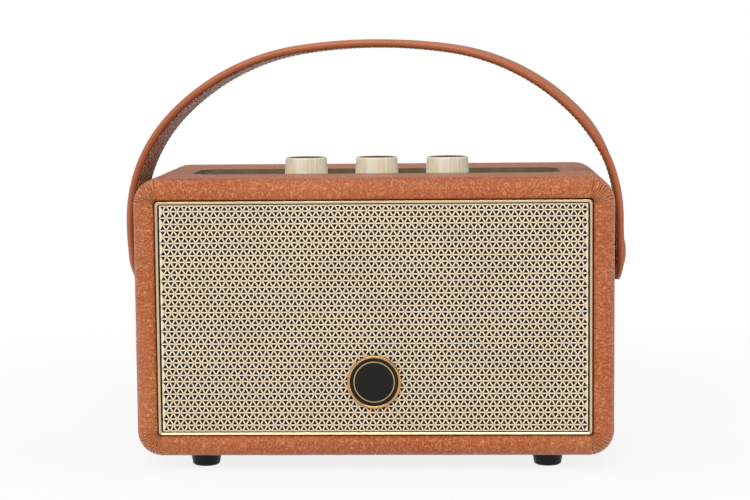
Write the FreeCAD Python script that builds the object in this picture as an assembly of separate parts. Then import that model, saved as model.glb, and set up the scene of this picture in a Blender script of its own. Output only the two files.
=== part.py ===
import FreeCAD, Part
import math
import os

# Leather-covered portable radio with a strap handle, three knobs in a recess in its top and a
# punched metal grille. Millimetres. +X is to the right as the user faces the grille, +Y goes
# from the grille to the rear panel and +Z is up. The origin is midway between the four feet,
# on the surface that they stand on.

Vector = FreeCAD.Vector
X_AXIS = Vector(1, 0, 0)
Y_AXIS = Vector(0, 1, 0)
Z_AXIS = Vector(0, 0, 1)

# Cabinet
CABINET_WIDTH = 250.0
CABINET_DEPTH = 143.0
CABINET_HEIGHT = 146.0
FOOT_HEIGHT = 8.0
CORNER_RADIUS = 13.2
EDGE_ROLL = 8.0
LEATHER = 1.2
BOARD = 15.0
FRONT = -CABINET_DEPTH / 2
BACK = CABINET_DEPTH / 2
TOP = FOOT_HEIGHT + CABINET_HEIGHT
MIDDLE = FOOT_HEIGHT + CABINET_HEIGHT / 2
BOARD_FLOOR = FOOT_HEIGHT + LEATHER + BOARD
ROOF = TOP - LEATHER - BOARD

# Opening in the leather, alike at the front and at the back
OPENING_WIDTH = 227.4
OPENING_HEIGHT = 123.6
OPENING_CORNER = 2.0
OPENING_EDGE_ROLL = 3.0
BAFFLE_FACE = FRONT + 11.5
BAFFLE = 9.0
REAR_FACE = BACK - 5.5
REAR_PANEL = 6.0
PANEL_GAP = 0.2

# Grille
FRAME_GAP = 0.5
FRAME_SETBACK = 1.6
FRAME_BAND = 2.1
FRAME_EDGE = 0.4
FRAME_BEVEL = 1.2
LIP_WIDTH = 5.2
LIP = 1.0
MESH_GAP = 0.5
MESH_SETBACK = 0.8
MESH_PITCH = 3.8
MESH_BAR = 0.85
MESH_BORDER = 0.7
PLY = 0.4
CLOTH = 0.4

# Badge on the grille
BADGE_HEIGHT = 39.7
BADGE_RADIUS = 14.0
BADGE_RIM = 1.4
BADGE_THICK = 2.0
BADGE_FIELD = 1.4
BADGE_DISH = 0.4

# Control recess
RECESS_LENGTH = 197.0
RECESS_WIDTH = 46.0
RECESS_CORNER = 9.0
RECESS_Y = -7.5
RECESS_FLOOR = TOP - 8.0
END_SLOPE = 8.0
SIDE_SLOPE = 2.0
SHEET = 0.8
FLANGE = 4.0

# Knobs and potentiometers
KNOB_SPACING = 38.5
KNOB_TOP = TOP + 8.0
KNOB_TOP_RADIUS = 11.2
KNOB_FOOT_RADIUS = 12.1
KNOB_GAP = 0.6
KNOB_CHAMFER = 0.5
KNOB_LAND = 1.0
KNOB_DISH = 0.9
SHAFT_RADIUS = 3.0
SHAFT_FLAT = 1.5
RUNNING_CLEARANCE = 0.05
BUSH_RADIUS = 3.5
BUSH_HEIGHT = 6.0
POT_RADIUS = 8.25
POT_HEIGHT = 7.0
NUT_ACROSS_FLATS = 10.0
NUT_HEIGHT = 2.0
PCB = 1.6
KNOB_NAMES = ("volume", "bass", "treble")

# Buttons, lens and socket in the recess
BUTTON_X = 64.0
BUTTON_RADIUS = 3.6
BUTTON_CLEARANCE = 0.2
BUTTON_PROUD = 1.8
BUTTON_TRAVEL = 1.2
BUTTON_SHOULDER = 1.2
LENS_X = -79.0
LENS_RADIUS = 1.5
# The socket stands in front of the strap's path, so that a plug goes straight in
JACK_X = 79.0
JACK_Y = -20.0
JACK_BORE = 1.8
JACK_DEPTH = 14.2
JACK_RADIUS = 5.0
STANDOFF_RADIUS = 2.2

# Loudspeakers
TWEETER_X = 82.0
WOOFER_RADIUS = 52.0
WOOFER_CUTOUT = 46.0
DRIVER_FLANGE = 2.0
CONE_RADIUS = 38.0
COIL_RADIUS = 13.0
CONE_CLEARANCE = 0.3
TWEETER_RADIUS = 24.0
TWEETER_CUTOUT = 18.6

# Strap handle
STRAP_TOP = TOP + 71.4
STRAP_WIDTH = 29.0
STRAP_RADII = (278.0, 121.0, 85.5)
STRAP_TURNS = (8.6, 46.0, 90.0)
OUTER_PLY = 3.6
LINING_PLY = 0.8
TURNED_EDGE = 1.4
LINING_MARGIN = 1.7
PIVOT_Z = FOOT_HEIGHT + 100.5
BUSHING_RADIUS = 4.0
SIDE_CLEARANCE = 0.2

# Feet
FOOT_X = 91.0
FOOT_Y = 47.5
FOOT_TOP_RADIUS = 8.5
FOOT_TREAD_RADIUS = 7.3
FOOT_EDGE = 1.5


def box(x_range, y_range, z_range):
    """A block between the given pairs of coordinates."""
    size = [pair[1] - pair[0] for pair in (x_range, y_range, z_range)]
    return Part.makeBox(*size, Vector(x_range[0], y_range[0], z_range[0]))


def rod(radius, start, axis, length):
    """A round bar that starts at a point and runs along an axis."""
    return Part.makeCylinder(radius, length, start, axis)


def around(centre, half_length):
    """The pair of coordinates that lie half_length to each side of a centre."""
    return (centre - half_length, centre + half_length)


def lathe(profile, base, axis):
    """Turn a closed profile of (radius, height) points about an axis through base.

    A step of four numbers is an arc: the point midway, then the point where it ends.
    """
    sideways = Z_AXIS if axis == X_AXIS else X_AXIS

    def place(radius, height):
        return base + sideways * radius + axis * height

    edges = []
    here = place(*profile[0])
    for step in profile[1:] + profile[:1]:
        end = place(*step[-2:])
        if len(step) == 4:
            edges.append(Part.Arc(here, place(*step[:2]), end).toShape())
        elif here.distanceToPoint(end) > 1e-6:
            edges.append(Part.makeLine(here, end))
        here = end
    face = Part.Face(Part.Wire(edges))
    return face.revolve(base, axis, 360)


def crowned(radius, edge, crown):
    """The point midway along a dome's arc from its edge to its crown on the axis."""
    rise = crown - edge
    ball = (radius ** 2 + rise ** 2) / (2 * rise)
    turn = math.asin(radius / abs(ball)) / 2
    return (abs(ball) * math.sin(turn), crown - ball + ball * math.cos(turn))


def rounded_rectangle(width, height, radius):
    """A closed wire in the XY plane, centred on the origin."""
    x, y = width / 2, height / 2
    bend = radius * (1 - math.sqrt(0.5))
    edges = []
    corners = ((1, 1), (-1, 1), (-1, -1), (1, -1))
    for (sx, sy), (nx, ny) in zip(corners, corners[1:] + corners[:1]):
        along_x = Vector(sx * (x - radius), sy * y, 0)
        along_y = Vector(sx * x, sy * (y - radius), 0)
        first, last = (along_y, along_x) if sx == sy else (along_x, along_y)
        edges.append(Part.Arc(first, Vector(sx * (x - bend), sy * (y - bend), 0), last).toShape())
        if sx == sy:
            following = Vector(nx * (x - radius), ny * y, 0)
        else:
            following = Vector(nx * x, ny * (y - radius), 0)
        edges.append(Part.makeLine(last, following))
    return Part.Wire(edges)


def upright_plate(width, height, radius, y_range):
    """A rounded panel that stands in the XZ plane, centred on the cabinet's middle."""
    wire = rounded_rectangle(width, height, radius)
    wire.rotate(Vector(0, 0, 0), X_AXIS, 90)
    wire.translate(Vector(0, y_range[0], MIDDLE))
    return Part.Face(wire).extrude(Vector(0, y_range[1] - y_range[0], 0))


def level_plate(width, length, radius, z_range):
    """A rounded panel that lies level, centred on the recess."""
    wire = rounded_rectangle(width, length, radius)
    wire.translate(Vector(0, RECESS_Y, z_range[0]))
    return Part.Face(wire).extrude(Vector(0, 0, z_range[1] - z_range[0]))


def compound_cut(body, tools):
    """Cut many tools from a body at once."""
    return body.cut(Part.makeCompound(tools))


def round_edges(body, radius, belongs):
    """Fillet the edges whose centre of mass passes a test."""
    return body.makeFillet(radius, [edge for edge in body.Edges if belongs(edge)])


# ---------------------------------------------------------------- cabinet

def rolled_block(inset):
    """The cabinet's outer form, taken in by inset on every side."""
    block = box(
        around(0, CABINET_WIDTH / 2 - inset),
        (FRONT + inset, BACK - inset),
        (FOOT_HEIGHT + inset, TOP - inset),
    )
    block = round_edges(
        block,
        CORNER_RADIUS - inset,
        lambda edge: abs(edge.tangentAt(edge.FirstParameter).y) > 0.9,
    )
    face_y = BACK - inset
    return round_edges(
        block,
        EDGE_ROLL - inset,
        lambda edge: abs(abs(edge.CenterOfMass.y) - face_y) < 0.01,
    )


def cabinet_form(inset):
    """The rolled block with both openings, whose edges are rolled too, taken in by inset."""
    opening = (OPENING_WIDTH + 2 * inset, OPENING_HEIGHT + 2 * inset, OPENING_CORNER + inset)
    form = compound_cut(rolled_block(inset), [
        upright_plate(*opening, (FRONT, BAFFLE_FACE)),
        upright_plate(*opening, (REAR_FACE, BACK)),
    ])
    half_width, half_height = opening[0] / 2 + 0.01, opening[1] / 2 + 0.01

    def on_opening_edge(edge):
        centre = edge.CenterOfMass
        inside = abs(centre.x) < half_width and abs(centre.z - MIDDLE) < half_height
        return inside and abs(abs(centre.y) - BACK + inset) < 0.01

    return round_edges(form, OPENING_EDGE_ROLL - inset, on_opening_edge)


def strap_bolt_line(side, radius, x_range):
    """A bar along a strap screw's axis on one side of the cabinet, between two distances out."""
    start = Vector(side * x_range[0], 0, PIVOT_Z)
    return rod(radius, start, X_AXIS * side, x_range[1] - x_range[0])


def foot_places():
    """Name, x and y of each foot."""
    return [
        (f"foot_{end}_{side}", x, y)
        for end, y in (("front", -FOOT_Y), ("back", FOOT_Y))
        for side, x in (("left", -FOOT_X), ("right", FOOT_X))
    ]


REAR_SCREW_X = OPENING_WIDTH / 2 - 2.2
REAR_SCREW_Z = OPENING_HEIGHT / 2 - 2.5
REAR_SCREW_RADIUS = 1.25
FOOT_SCREW_RADIUS = 1.9
SCREW_DEPTH = 10.0
INSERT_RADIUS = 4.0
INSERT_DEPTH = 10.0
BOLT_RADIUS = 2.5
STANDOFF_STUD = 1.4
HALF_BORE_X = CABINET_WIDTH / 2 - LEATHER - BOARD
HALF_BORE_Z = CABINET_HEIGHT / 2 - LEATHER - BOARD


def rear_screw_places():
    """x and z of each rear panel screw."""
    across = [(x, side * REAR_SCREW_Z) for side in (-1, 1) for x in (-REAR_SCREW_X, -37, 37, REAR_SCREW_X)]
    beside = [(side * REAR_SCREW_X, 0) for side in (-1, 1)]
    return [(x, MIDDLE + z) for x, z in across + beside]


def make_boards():
    """Top, bottom and side boards, rolled at the edges and rebated for baffle and rear panel."""
    inner = CABINET_WIDTH / 2 - LEATHER
    rebate = (OPENING_WIDTH + 2 * LEATHER, OPENING_HEIGHT + 2 * LEATHER, OPENING_CORNER + LEATHER)
    cuts = [
        box(around(0, HALF_BORE_X), (FRONT, BACK), around(MIDDLE, HALF_BORE_Z)),
        upright_plate(*rebate, (FRONT, BAFFLE_FACE + BAFFLE)),
        upright_plate(*rebate, (REAR_FACE - REAR_PANEL, BACK)),
        level_plate(RECESS_LENGTH + 2, RECESS_WIDTH + 2, RECESS_CORNER + 1, (ROOF - 1, TOP)),
        level_plate(
            RECESS_LENGTH + 2 * FLANGE,
            RECESS_WIDTH + 2 * FLANGE,
            RECESS_CORNER + FLANGE,
            (TOP - LEATHER - SHEET, TOP),
        ),
    ]
    for side in (-1, 1):
        cuts.append(strap_bolt_line(side, INSERT_RADIUS, (inner - INSERT_DEPTH, inner)))
    for _, x, y in foot_places():
        cuts.append(rod(FOOT_SCREW_RADIUS, Vector(x, y, FOOT_HEIGHT), Z_AXIS, SCREW_DEPTH))
    for x, z in rear_screw_places():
        start = Vector(x, REAR_FACE - REAR_PANEL - SCREW_DEPTH, z)
        cuts.append(rod(REAR_SCREW_RADIUS, start, Y_AXIS, SCREW_DEPTH))
    for x, y in amplifier_posts():
        cuts.append(rod(STANDOFF_STUD, Vector(x, y, BOARD_FLOOR - SCREW_DEPTH / 2), Z_AXIS, SCREW_DEPTH / 2))
    for x, y in bracket_screws():
        cuts.append(rod(STANDOFF_STUD, Vector(x, y, BOARD_FLOOR - SCREW_DEPTH / 2), Z_AXIS, SCREW_DEPTH / 2))
    carcass = compound_cut(cabinet_form(LEATHER), cuts)
    whole = around(0, CABINET_WIDTH)
    depth = (FRONT, BACK)
    return {
        "top_board": carcass.common(box(whole, depth, (ROOF, TOP))),
        "bottom_board": carcass.common(box(whole, depth, (0, BOARD_FLOOR))),
        "left_board": carcass.common(box((-CABINET_WIDTH, 0), depth, (BOARD_FLOOR, ROOF))),
        "right_board": carcass.common(box((0, CABINET_WIDTH), depth, (BOARD_FLOOR, ROOF))),
    }


def make_leather():
    """One skin over the boards, rolled over both ends and turned into the openings."""
    cuts = [
        cabinet_form(LEATHER),
        level_plate(RECESS_LENGTH, RECESS_WIDTH, RECESS_CORNER, (TOP - LEATHER - 1, TOP + 1)),
    ]
    for side in (-1, 1):
        reach = (CABINET_WIDTH / 2 - LEATHER - 1, CABINET_WIDTH / 2 + 1)
        cuts.append(strap_bolt_line(side, BOLT_RADIUS + PANEL_GAP, reach))
    for _, x, y in foot_places():
        cuts.append(rod(FOOT_SCREW_RADIUS + PANEL_GAP, Vector(x, y, FOOT_HEIGHT - 1), Z_AXIS, LEATHER + 1))
    return compound_cut(cabinet_form(0), cuts).removeSplitter()


FOOT_HEAD_RADIUS = 3.4
FOOT_COUNTERBORE = 3.6
FOOT_WEB = 4.0


def make_feet():
    """Tapered rubber feet with a counterbore for the screw."""
    profile = [
        (FOOT_COUNTERBORE, 0),
        (FOOT_TREAD_RADIUS - FOOT_EDGE, 0),
        (
            FOOT_TREAD_RADIUS - FOOT_EDGE * (1 - math.sqrt(0.5)),
            FOOT_EDGE * (1 - math.sqrt(0.5)),
            FOOT_TREAD_RADIUS,
            FOOT_EDGE,
        ),
        (FOOT_TOP_RADIUS, FOOT_HEIGHT),
        (FOOT_SCREW_RADIUS, FOOT_HEIGHT),
        (FOOT_SCREW_RADIUS, FOOT_WEB),
        (FOOT_COUNTERBORE, FOOT_WEB),
    ]
    screw = [
        (0, FOOT_WEB - 1.8),
        (FOOT_HEAD_RADIUS * 0.7, FOOT_WEB - 1.8),
        (FOOT_HEAD_RADIUS, FOOT_WEB - 0.8),
        (FOOT_HEAD_RADIUS, FOOT_WEB),
        (FOOT_SCREW_RADIUS, FOOT_WEB),
        (FOOT_SCREW_RADIUS, FOOT_HEIGHT + SCREW_DEPTH - 1),
        (0, FOOT_HEIGHT + SCREW_DEPTH),
    ]
    nodes = {name: lathe(profile, Vector(x, y, 0), Z_AXIS) for name, x, y in foot_places()}
    screws = [lathe(screw, Vector(x, y, 0), Z_AXIS) for _, x, y in foot_places()]
    nodes["foot_screws"] = Part.makeCompound(screws)
    return nodes


# ---------------------------------------------------------------- grille side

def make_grille_frame():
    """Metal trim with a lip inside that the mesh and the cloth are fixed to."""
    width = OPENING_WIDTH - 2 * FRAME_GAP
    height = OPENING_HEIGHT - 2 * FRAME_GAP
    front = FRONT + FRAME_SETBACK
    lip_front = front + MESH_SETBACK + 3 * PLY
    frame = upright_plate(width, height, OPENING_CORNER - FRAME_GAP, (front, BAFFLE_FACE))
    window = (width - 2 * FRAME_BAND, height - 2 * FRAME_BAND)
    bevel = []
    for y, flare in ((front, FRAME_BEVEL), (MESH_FACE, 0)):
        wire = rounded_rectangle(*[side + 2 * flare for side in window], 1.2)
        wire.rotate(Vector(0, 0, 0), X_AXIS, 90)
        wire.translate(Vector(0, y, MIDDLE))
        bevel.append(wire)
    frame = compound_cut(frame, [
        Part.makeLoft(bevel, True, True),
        upright_plate(*window, 1.2, (front, lip_front)),
        upright_plate(width - 2 * LIP_WIDTH, height - 2 * LIP_WIDTH, 1.2, (lip_front, lip_front + LIP)),
        upright_plate(*window, 1.2, (lip_front + LIP, BAFFLE_FACE)),
    ])
    half_width = width / 2 - FRAME_BAND + FRAME_BEVEL + 0.01
    half_height = height / 2 - FRAME_BAND + FRAME_BEVEL + 0.01

    def on_outer_edge(edge):
        centre = edge.CenterOfMass
        outside = abs(centre.x) > half_width or abs(centre.z - MIDDLE) > half_height
        return outside and abs(centre.y - front) < 0.01

    return round_edges(frame, FRAME_EDGE, on_outer_edge)


MESH_WIDTH = OPENING_WIDTH - 2 * (FRAME_GAP + FRAME_BAND + MESH_GAP)
MESH_HEIGHT = OPENING_HEIGHT - 2 * (FRAME_GAP + FRAME_BAND + MESH_GAP)
MESH_FACE = FRONT + FRAME_SETBACK + MESH_SETBACK


def mesh_ply(angle, front):
    """A thin sheet slotted between parallel bars that run at an angle to the level."""
    y_range = (front, front + PLY)
    sheet = upright_plate(MESH_WIDTH, MESH_HEIGHT, 1.0, y_range)
    inside = upright_plate(MESH_WIDTH - 2 * MESH_BORDER, MESH_HEIGHT - 2 * MESH_BORDER, 0.5, y_range)
    row = MESH_PITCH * math.sqrt(3) / 2
    tilt = math.radians(angle)
    reach = MESH_WIDTH / 2 * abs(math.sin(tilt)) + MESH_HEIGHT / 2 * math.cos(tilt)
    rows = int(reach / row) + 1
    slots = []
    for index in range(-rows, rows):
        middle = MIDDLE + (index + 0.5) * row
        slot = box(around(0, MESH_WIDTH), y_range, around(middle, (row - MESH_BAR) / 2))
        slot.rotate(Vector(0, 0, MIDDLE), Y_AXIS, angle)
        slot = slot.common(inside)
        if slot.Volume > 0.1:
            slots.append(slot)
    return compound_cut(sheet, slots)


def make_mesh():
    """Three slotted sheets face to face, which leave triangular holes right through."""
    plies = [mesh_ply(angle, MESH_FACE + PLY * index) for index, angle in enumerate((0, 60, -60))]
    return Part.makeCompound(plies)


def make_badge():
    """Round badge on the mesh: a turned rim and a plain dished field."""
    base = Vector(0, MESH_FACE, FOOT_HEIGHT + BADGE_HEIGHT)
    inner = BADGE_RADIUS - BADGE_RIM
    rim = [
        (inner, 0),
        (BADGE_RADIUS, 0),
        (BADGE_RADIUS, BADGE_THICK - 0.5),
        (BADGE_RADIUS - 0.5, BADGE_THICK),
        (inner + 0.3, BADGE_THICK),
        (inner, BADGE_FIELD),
    ]
    field = [
        (0, 0),
        (inner, 0),
        (inner, BADGE_FIELD),
        (*crowned(inner, BADGE_FIELD, BADGE_FIELD - BADGE_DISH), 0, BADGE_FIELD - BADGE_DISH),
    ]
    return {
        "badge_rim": lathe(rim, base, -Y_AXIS),
        "badge_plate": lathe(field, base, -Y_AXIS),
    }


def make_baffle():
    """Board in the front rebate with a hole for each loudspeaker and for each of its screws."""
    gap = LEATHER - PANEL_GAP
    baffle = upright_plate(
        OPENING_WIDTH + 2 * gap,
        OPENING_HEIGHT + 2 * gap,
        OPENING_CORNER + gap,
        (BAFFLE_FACE, BAFFLE_FACE + BAFFLE),
    )
    cuts = [rod(WOOFER_CUTOUT, Vector(0, BAFFLE_FACE, MIDDLE), Y_AXIS, BAFFLE)]
    for side in (-1, 1):
        cuts.append(rod(TWEETER_CUTOUT, Vector(side * TWEETER_X, BAFFLE_FACE, MIDDLE), Y_AXIS, BAFFLE))
    for x, z in driver_screw_places():
        cuts.append(rod(DRIVER_SCREW_RADIUS, Vector(x, BAFFLE_FACE, z), Y_AXIS, DRIVER_SCREW_DEPTH))
    return compound_cut(baffle, cuts)


def make_cloth():
    """Black cloth drawn over the back of the frame's lip."""
    back = MESH_FACE + 3 * PLY + LIP
    return upright_plate(MESH_WIDTH, MESH_HEIGHT, 1.0, (back, back + CLOTH))


# ---------------------------------------------------------------- loudspeakers

DRIVER_SCREW_RADIUS = 1.4
DRIVER_SCREW_DEPTH = 7.0
DRIVER_HEAD = (2.2, 1.1)
WOOFER_SCREW_CIRCLE = 49.6
TWEETER_SCREW_CIRCLE = 21.2
BASKET_WALL = 1.2
BASKET_NECK = WOOFER_CUTOUT - 1
BASKET_SHOULDER = 8.0
BASKET_SEAT = 24.0
SHELF_INSIDE = 29.0
SHELF_OUTSIDE = 34.2
SPIDER_SHELF = 21.0
SPIDER_RADIUS = 32.0
SPIDER_PLEATS = 5
PLEAT_HEIGHT = 1.2
SKIN = 0.6
CONE_LIP = 2.6
CONE_NECK = 13.2
CONE_PAPER = 0.8
CAP_OVERLAP = 3.0
CAP_CROWN = 5.5
FORMER = 0.4
COIL_GAP = 0.5
MOTOR_START = 33.0
PLATE = 4.0
PLATE_RADIUS = 30.0
MAGNET = 14.0
MAGNET_RADIUS = 35.0
MAGNET_BORE = 18.0
POLE_RADIUS = 12.0
# Half width, middle depth and half depth of the windows in the basket's wall
BASKET_WINDOWS = ((13.0, 14.5, 4.5), (9.0, 27.0, 3.5))
DOME_RADIUS = 10.4
DOME_CROWN = -3.4
DOME_SEAT = 0.5
HORN_START = 12.0
HORN_END = 18.5
TWEETER_DEPTH = 14.0


def ring_places(centre_x, radius, count, first_angle):
    """x and z of points evenly spaced round a circle on the baffle."""
    turns = [math.radians(first_angle + 360 / count * index) for index in range(count)]
    return [(centre_x + radius * math.cos(turn), MIDDLE + radius * math.sin(turn)) for turn in turns]


def driver_screw_places():
    """x and z of the screws that hold all three loudspeakers."""
    places = ring_places(0, WOOFER_SCREW_CIRCLE, 4, 45)
    for side in (-1, 1):
        places += ring_places(side * TWEETER_X, TWEETER_SCREW_CIRCLE, 3, 90)
    return places


def screw_profile(radius, length, head_radius, head_height, start):
    """Profile of a pan-head screw whose head sits on a face and points to negative heights.

    The head's seat is at the height start and the screw's point is a length further on.
    """
    return [
        (0, start - head_height),
        (head_radius * 0.6, start - head_height),
        (head_radius, start - head_height * 0.4),
        (head_radius, start),
        (radius, start),
        (radius, start + length - 1),
        (0, start + length),
    ]


def make_driver_screws():
    """Pan-head screws through the loudspeakers' flanges into the baffle."""
    length = DRIVER_FLANGE + DRIVER_SCREW_DEPTH
    profile = screw_profile(DRIVER_SCREW_RADIUS, length, *DRIVER_HEAD, -DRIVER_FLANGE)
    screws = [lathe(profile, Vector(x, BAFFLE_FACE, z), Y_AXIS) for x, z in driver_screw_places()]
    return Part.makeCompound(screws)


def make_basket(base):
    """Pressed basket with its spider shelf, cut out by windows. Heights are from the baffle face."""
    basket = lathe(
        [
            (BASKET_NECK - BASKET_WALL, -DRIVER_FLANGE),
            (WOOFER_RADIUS, -DRIVER_FLANGE),
            (WOOFER_RADIUS, 0),
            (BASKET_NECK, 0),
            (BASKET_NECK, BASKET_SHOULDER),
            (BASKET_SEAT + BASKET_WALL, MOTOR_START),
            (COIL_RADIUS + 2, MOTOR_START),
            (COIL_RADIUS + 2, MOTOR_START - BASKET_WALL),
            (BASKET_SEAT, MOTOR_START - BASKET_WALL),
            (SHELF_OUTSIDE - 1, SPIDER_SHELF + BASKET_WALL),
            (SHELF_INSIDE, SPIDER_SHELF + BASKET_WALL),
            (SHELF_INSIDE, SPIDER_SHELF),
            (SHELF_OUTSIDE, SPIDER_SHELF),
            (BASKET_NECK - BASKET_WALL, BASKET_SHOULDER),
        ],
        base,
        Y_AXIS,
    )
    cuts = []
    for index in range(4):
        for half_width, middle, half_depth in BASKET_WINDOWS:
            reach = (COIL_RADIUS + 7, WOOFER_RADIUS + 8)
            window = box(reach, around(middle, half_depth), around(0, half_width))
            window.rotate(Vector(0, 0, 0), Y_AXIS, 90 * index)
            window.translate(base)
            cuts.append(window)
    for x, z in ring_places(0, WOOFER_SCREW_CIRCLE, 4, 45):
        start = Vector(x, BAFFLE_FACE - DRIVER_FLANGE, z)
        cuts.append(rod(DRIVER_SCREW_RADIUS, start, Y_AXIS, DRIVER_FLANGE))
    return basket.cut(Part.makeCompound(cuts))


def make_suspension(base):
    """Half-roll surround and pleated spider. Heights are from the baffle face."""
    front = -DRIVER_FLANGE
    roll_start = CONE_RADIUS + CONE_CLEARANCE
    roll_end = BASKET_NECK - BASKET_WALL
    middle = (roll_start + roll_end) / 2
    roll = (roll_end - roll_start) / 2
    glued = roll_end + 3
    surround = [
        (roll_start, front - SKIN),
        (middle, front - SKIN - roll, roll_end, front - SKIN),
        (glued, front - SKIN),
        (glued, front),
        (roll_end - SKIN, front),
        (middle, front - roll + SKIN, roll_start + SKIN, front),
        (roll_start, front),
    ]
    inside = COIL_RADIUS + CONE_CLEARANCE
    wave = (SHELF_INSIDE - 0.5 - inside) / SPIDER_PLEATS
    pleats = [(inside, 0)]
    for index in range(SPIDER_PLEATS):
        swing = -PLEAT_HEIGHT if index % 2 else PLEAT_HEIGHT
        start = inside + wave * index
        pleats += [(start + wave * 0.4, swing), (start + wave * 0.6, swing), (start + wave, 0)]
    pleats.append((SPIDER_RADIUS, 0))
    spider = [(radius, SPIDER_SHELF - SKIN + swing) for radius, swing in pleats]
    spider += [(radius, SPIDER_SHELF + swing) for radius, swing in reversed(pleats)]
    return {
        "woofer_surround": lathe(surround, base, Y_AXIS),
        "woofer_spider": lathe(spider, base, Y_AXIS),
    }


def make_moving_cone(base):
    """Cone, dust cap and voice coil former. Heights are from the baffle face."""
    front = -DRIVER_FLANGE
    cone_start = CONE_RADIUS - CONE_LIP
    cone = [
        (cone_start, front - SKIN),
        (CONE_RADIUS, front - SKIN),
        (CONE_RADIUS, front),
        (cone_start + SKIN, front),
        (COIL_RADIUS, CONE_NECK + CONE_PAPER),
        (COIL_RADIUS, CONE_NECK),
    ]

    def on_cone(radius):
        """Depth of the cone's front face at a radius."""
        share = (radius - COIL_RADIUS) / (cone_start - COIL_RADIUS)
        return CONE_NECK - share * (CONE_NECK - front + SKIN)

    outside = COIL_RADIUS + CAP_OVERLAP
    inside = outside - CONE_PAPER
    cap = [
        (0, CAP_CROWN),
        (*crowned(outside, on_cone(outside), CAP_CROWN), outside, on_cone(outside)),
        (inside, on_cone(inside)),
        (*crowned(inside, on_cone(inside), CAP_CROWN + SKIN), 0, CAP_CROWN + SKIN),
    ]
    former_end = MOTOR_START + PLATE + 1
    former = [
        (COIL_RADIUS - FORMER, CONE_NECK),
        (COIL_RADIUS, CONE_NECK),
        (COIL_RADIUS, former_end),
        (COIL_RADIUS - FORMER, former_end),
    ]
    return {
        "woofer_cone": lathe(cone, base, Y_AXIS),
        "woofer_dust_cap": lathe(cap, base, Y_AXIS),
        "woofer_voice_coil": lathe(former, base, Y_AXIS),
    }


def make_motor(base):
    """Magnet between its two plates, with the pole in the middle. Heights are from the front plate."""
    back = PLATE + MAGNET
    magnet = [(MAGNET_BORE, PLATE), (MAGNET_RADIUS, PLATE), (MAGNET_RADIUS, back), (MAGNET_BORE, back)]
    bore = COIL_RADIUS + COIL_GAP
    front_plate = [(bore, 0), (PLATE_RADIUS, 0), (PLATE_RADIUS, PLATE), (bore, PLATE)]
    yoke = [
        (0, 0),
        (POLE_RADIUS, 0),
        (POLE_RADIUS, back),
        (PLATE_RADIUS, back),
        (PLATE_RADIUS, back + PLATE),
        (0, back + PLATE),
    ]
    return {
        "woofer_magnet": lathe(magnet, base, Y_AXIS),
        "woofer_yoke": Part.makeCompound([lathe(front_plate, base, Y_AXIS), lathe(yoke, base, Y_AXIS)]),
    }


def make_woofer():
    """Woofer with basket, moving cone, suspension and motor."""
    base = Vector(0, BAFFLE_FACE, MIDDLE)
    return {
        "woofer_basket": make_basket(base),
        **make_suspension(base),
        **make_moving_cone(base),
        **make_motor(base + Y_AXIS * MOTOR_START),
    }


def make_tweeters():
    """Two small dome tweeters, each a faceplate and motor in one body with a cloth dome."""
    can = TWEETER_CUTOUT - SKIN
    inside = DOME_RADIUS - SKIN
    horn_middle = (HORN_START + HORN_END) / 2
    profile = [
        (0, DOME_SEAT),
        (DOME_RADIUS + 0.1, DOME_SEAT),
        (HORN_START, 0),
        (horn_middle, -DRIVER_FLANGE * 0.6, HORN_END, -DRIVER_FLANGE),
        (TWEETER_RADIUS, -DRIVER_FLANGE),
        (TWEETER_RADIUS, 0),
        (can, 0),
        (can, TWEETER_DEPTH),
        (0, TWEETER_DEPTH),
    ]
    dome = [
        (0, DOME_CROWN),
        (*crowned(DOME_RADIUS, DOME_SEAT, DOME_CROWN), DOME_RADIUS, DOME_SEAT),
        (inside, DOME_SEAT),
        (*crowned(inside, DOME_SEAT, DOME_CROWN + 0.5), 0, DOME_CROWN + 0.5),
    ]
    nodes = {}
    for name, side in (("left", -1), ("right", 1)):
        base = Vector(side * TWEETER_X, BAFFLE_FACE, MIDDLE)
        holes = [
            rod(DRIVER_SCREW_RADIUS, Vector(x, BAFFLE_FACE - DRIVER_FLANGE, z), Y_AXIS, DRIVER_FLANGE)
            for x, z in ring_places(side * TWEETER_X, TWEETER_SCREW_CIRCLE, 3, 90)
        ]
        nodes[f"{name}_tweeter"] = compound_cut(lathe(profile, base, Y_AXIS), holes)
        nodes[f"{name}_tweeter_dome"] = lathe(dome, base, Y_AXIS)
    return nodes


# ---------------------------------------------------------------- controls

FLOOR_UNDERSIDE = RECESS_FLOOR - SHEET
CONTROL_BOARD_TOP = FLOOR_UNDERSIDE - POT_HEIGHT
CONTROL_BOARD_SIZE = (188.0, 38.0)
CONTROL_POSTS = [(x, RECESS_Y + y) for x in (-88, 88) for y in (-14, 14)]
JACK_NECK = 3.0
JACK_COLLAR = (4.2, 1.2)


def recess_space(margin, z_range):
    """The recess's inner space with sloping walls, grown sideways by a margin."""
    wires = []
    for z, inset_x, inset_y in ((z_range[1], 0, 0), (z_range[0], END_SLOPE, SIDE_SLOPE)):
        wire = rounded_rectangle(
            RECESS_LENGTH - 2 * inset_x + 2 * margin,
            RECESS_WIDTH - 2 * inset_y + 2 * margin,
            RECESS_CORNER + margin,
        )
        wire.translate(Vector(0, RECESS_Y, z))
        wires.append(wire)
    return Part.makeLoft(wires, True, True)


def knob_places():
    """Name and centre line of each knob."""
    return [(name, (index - 1) * KNOB_SPACING) for index, name in enumerate(KNOB_NAMES)]


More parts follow.
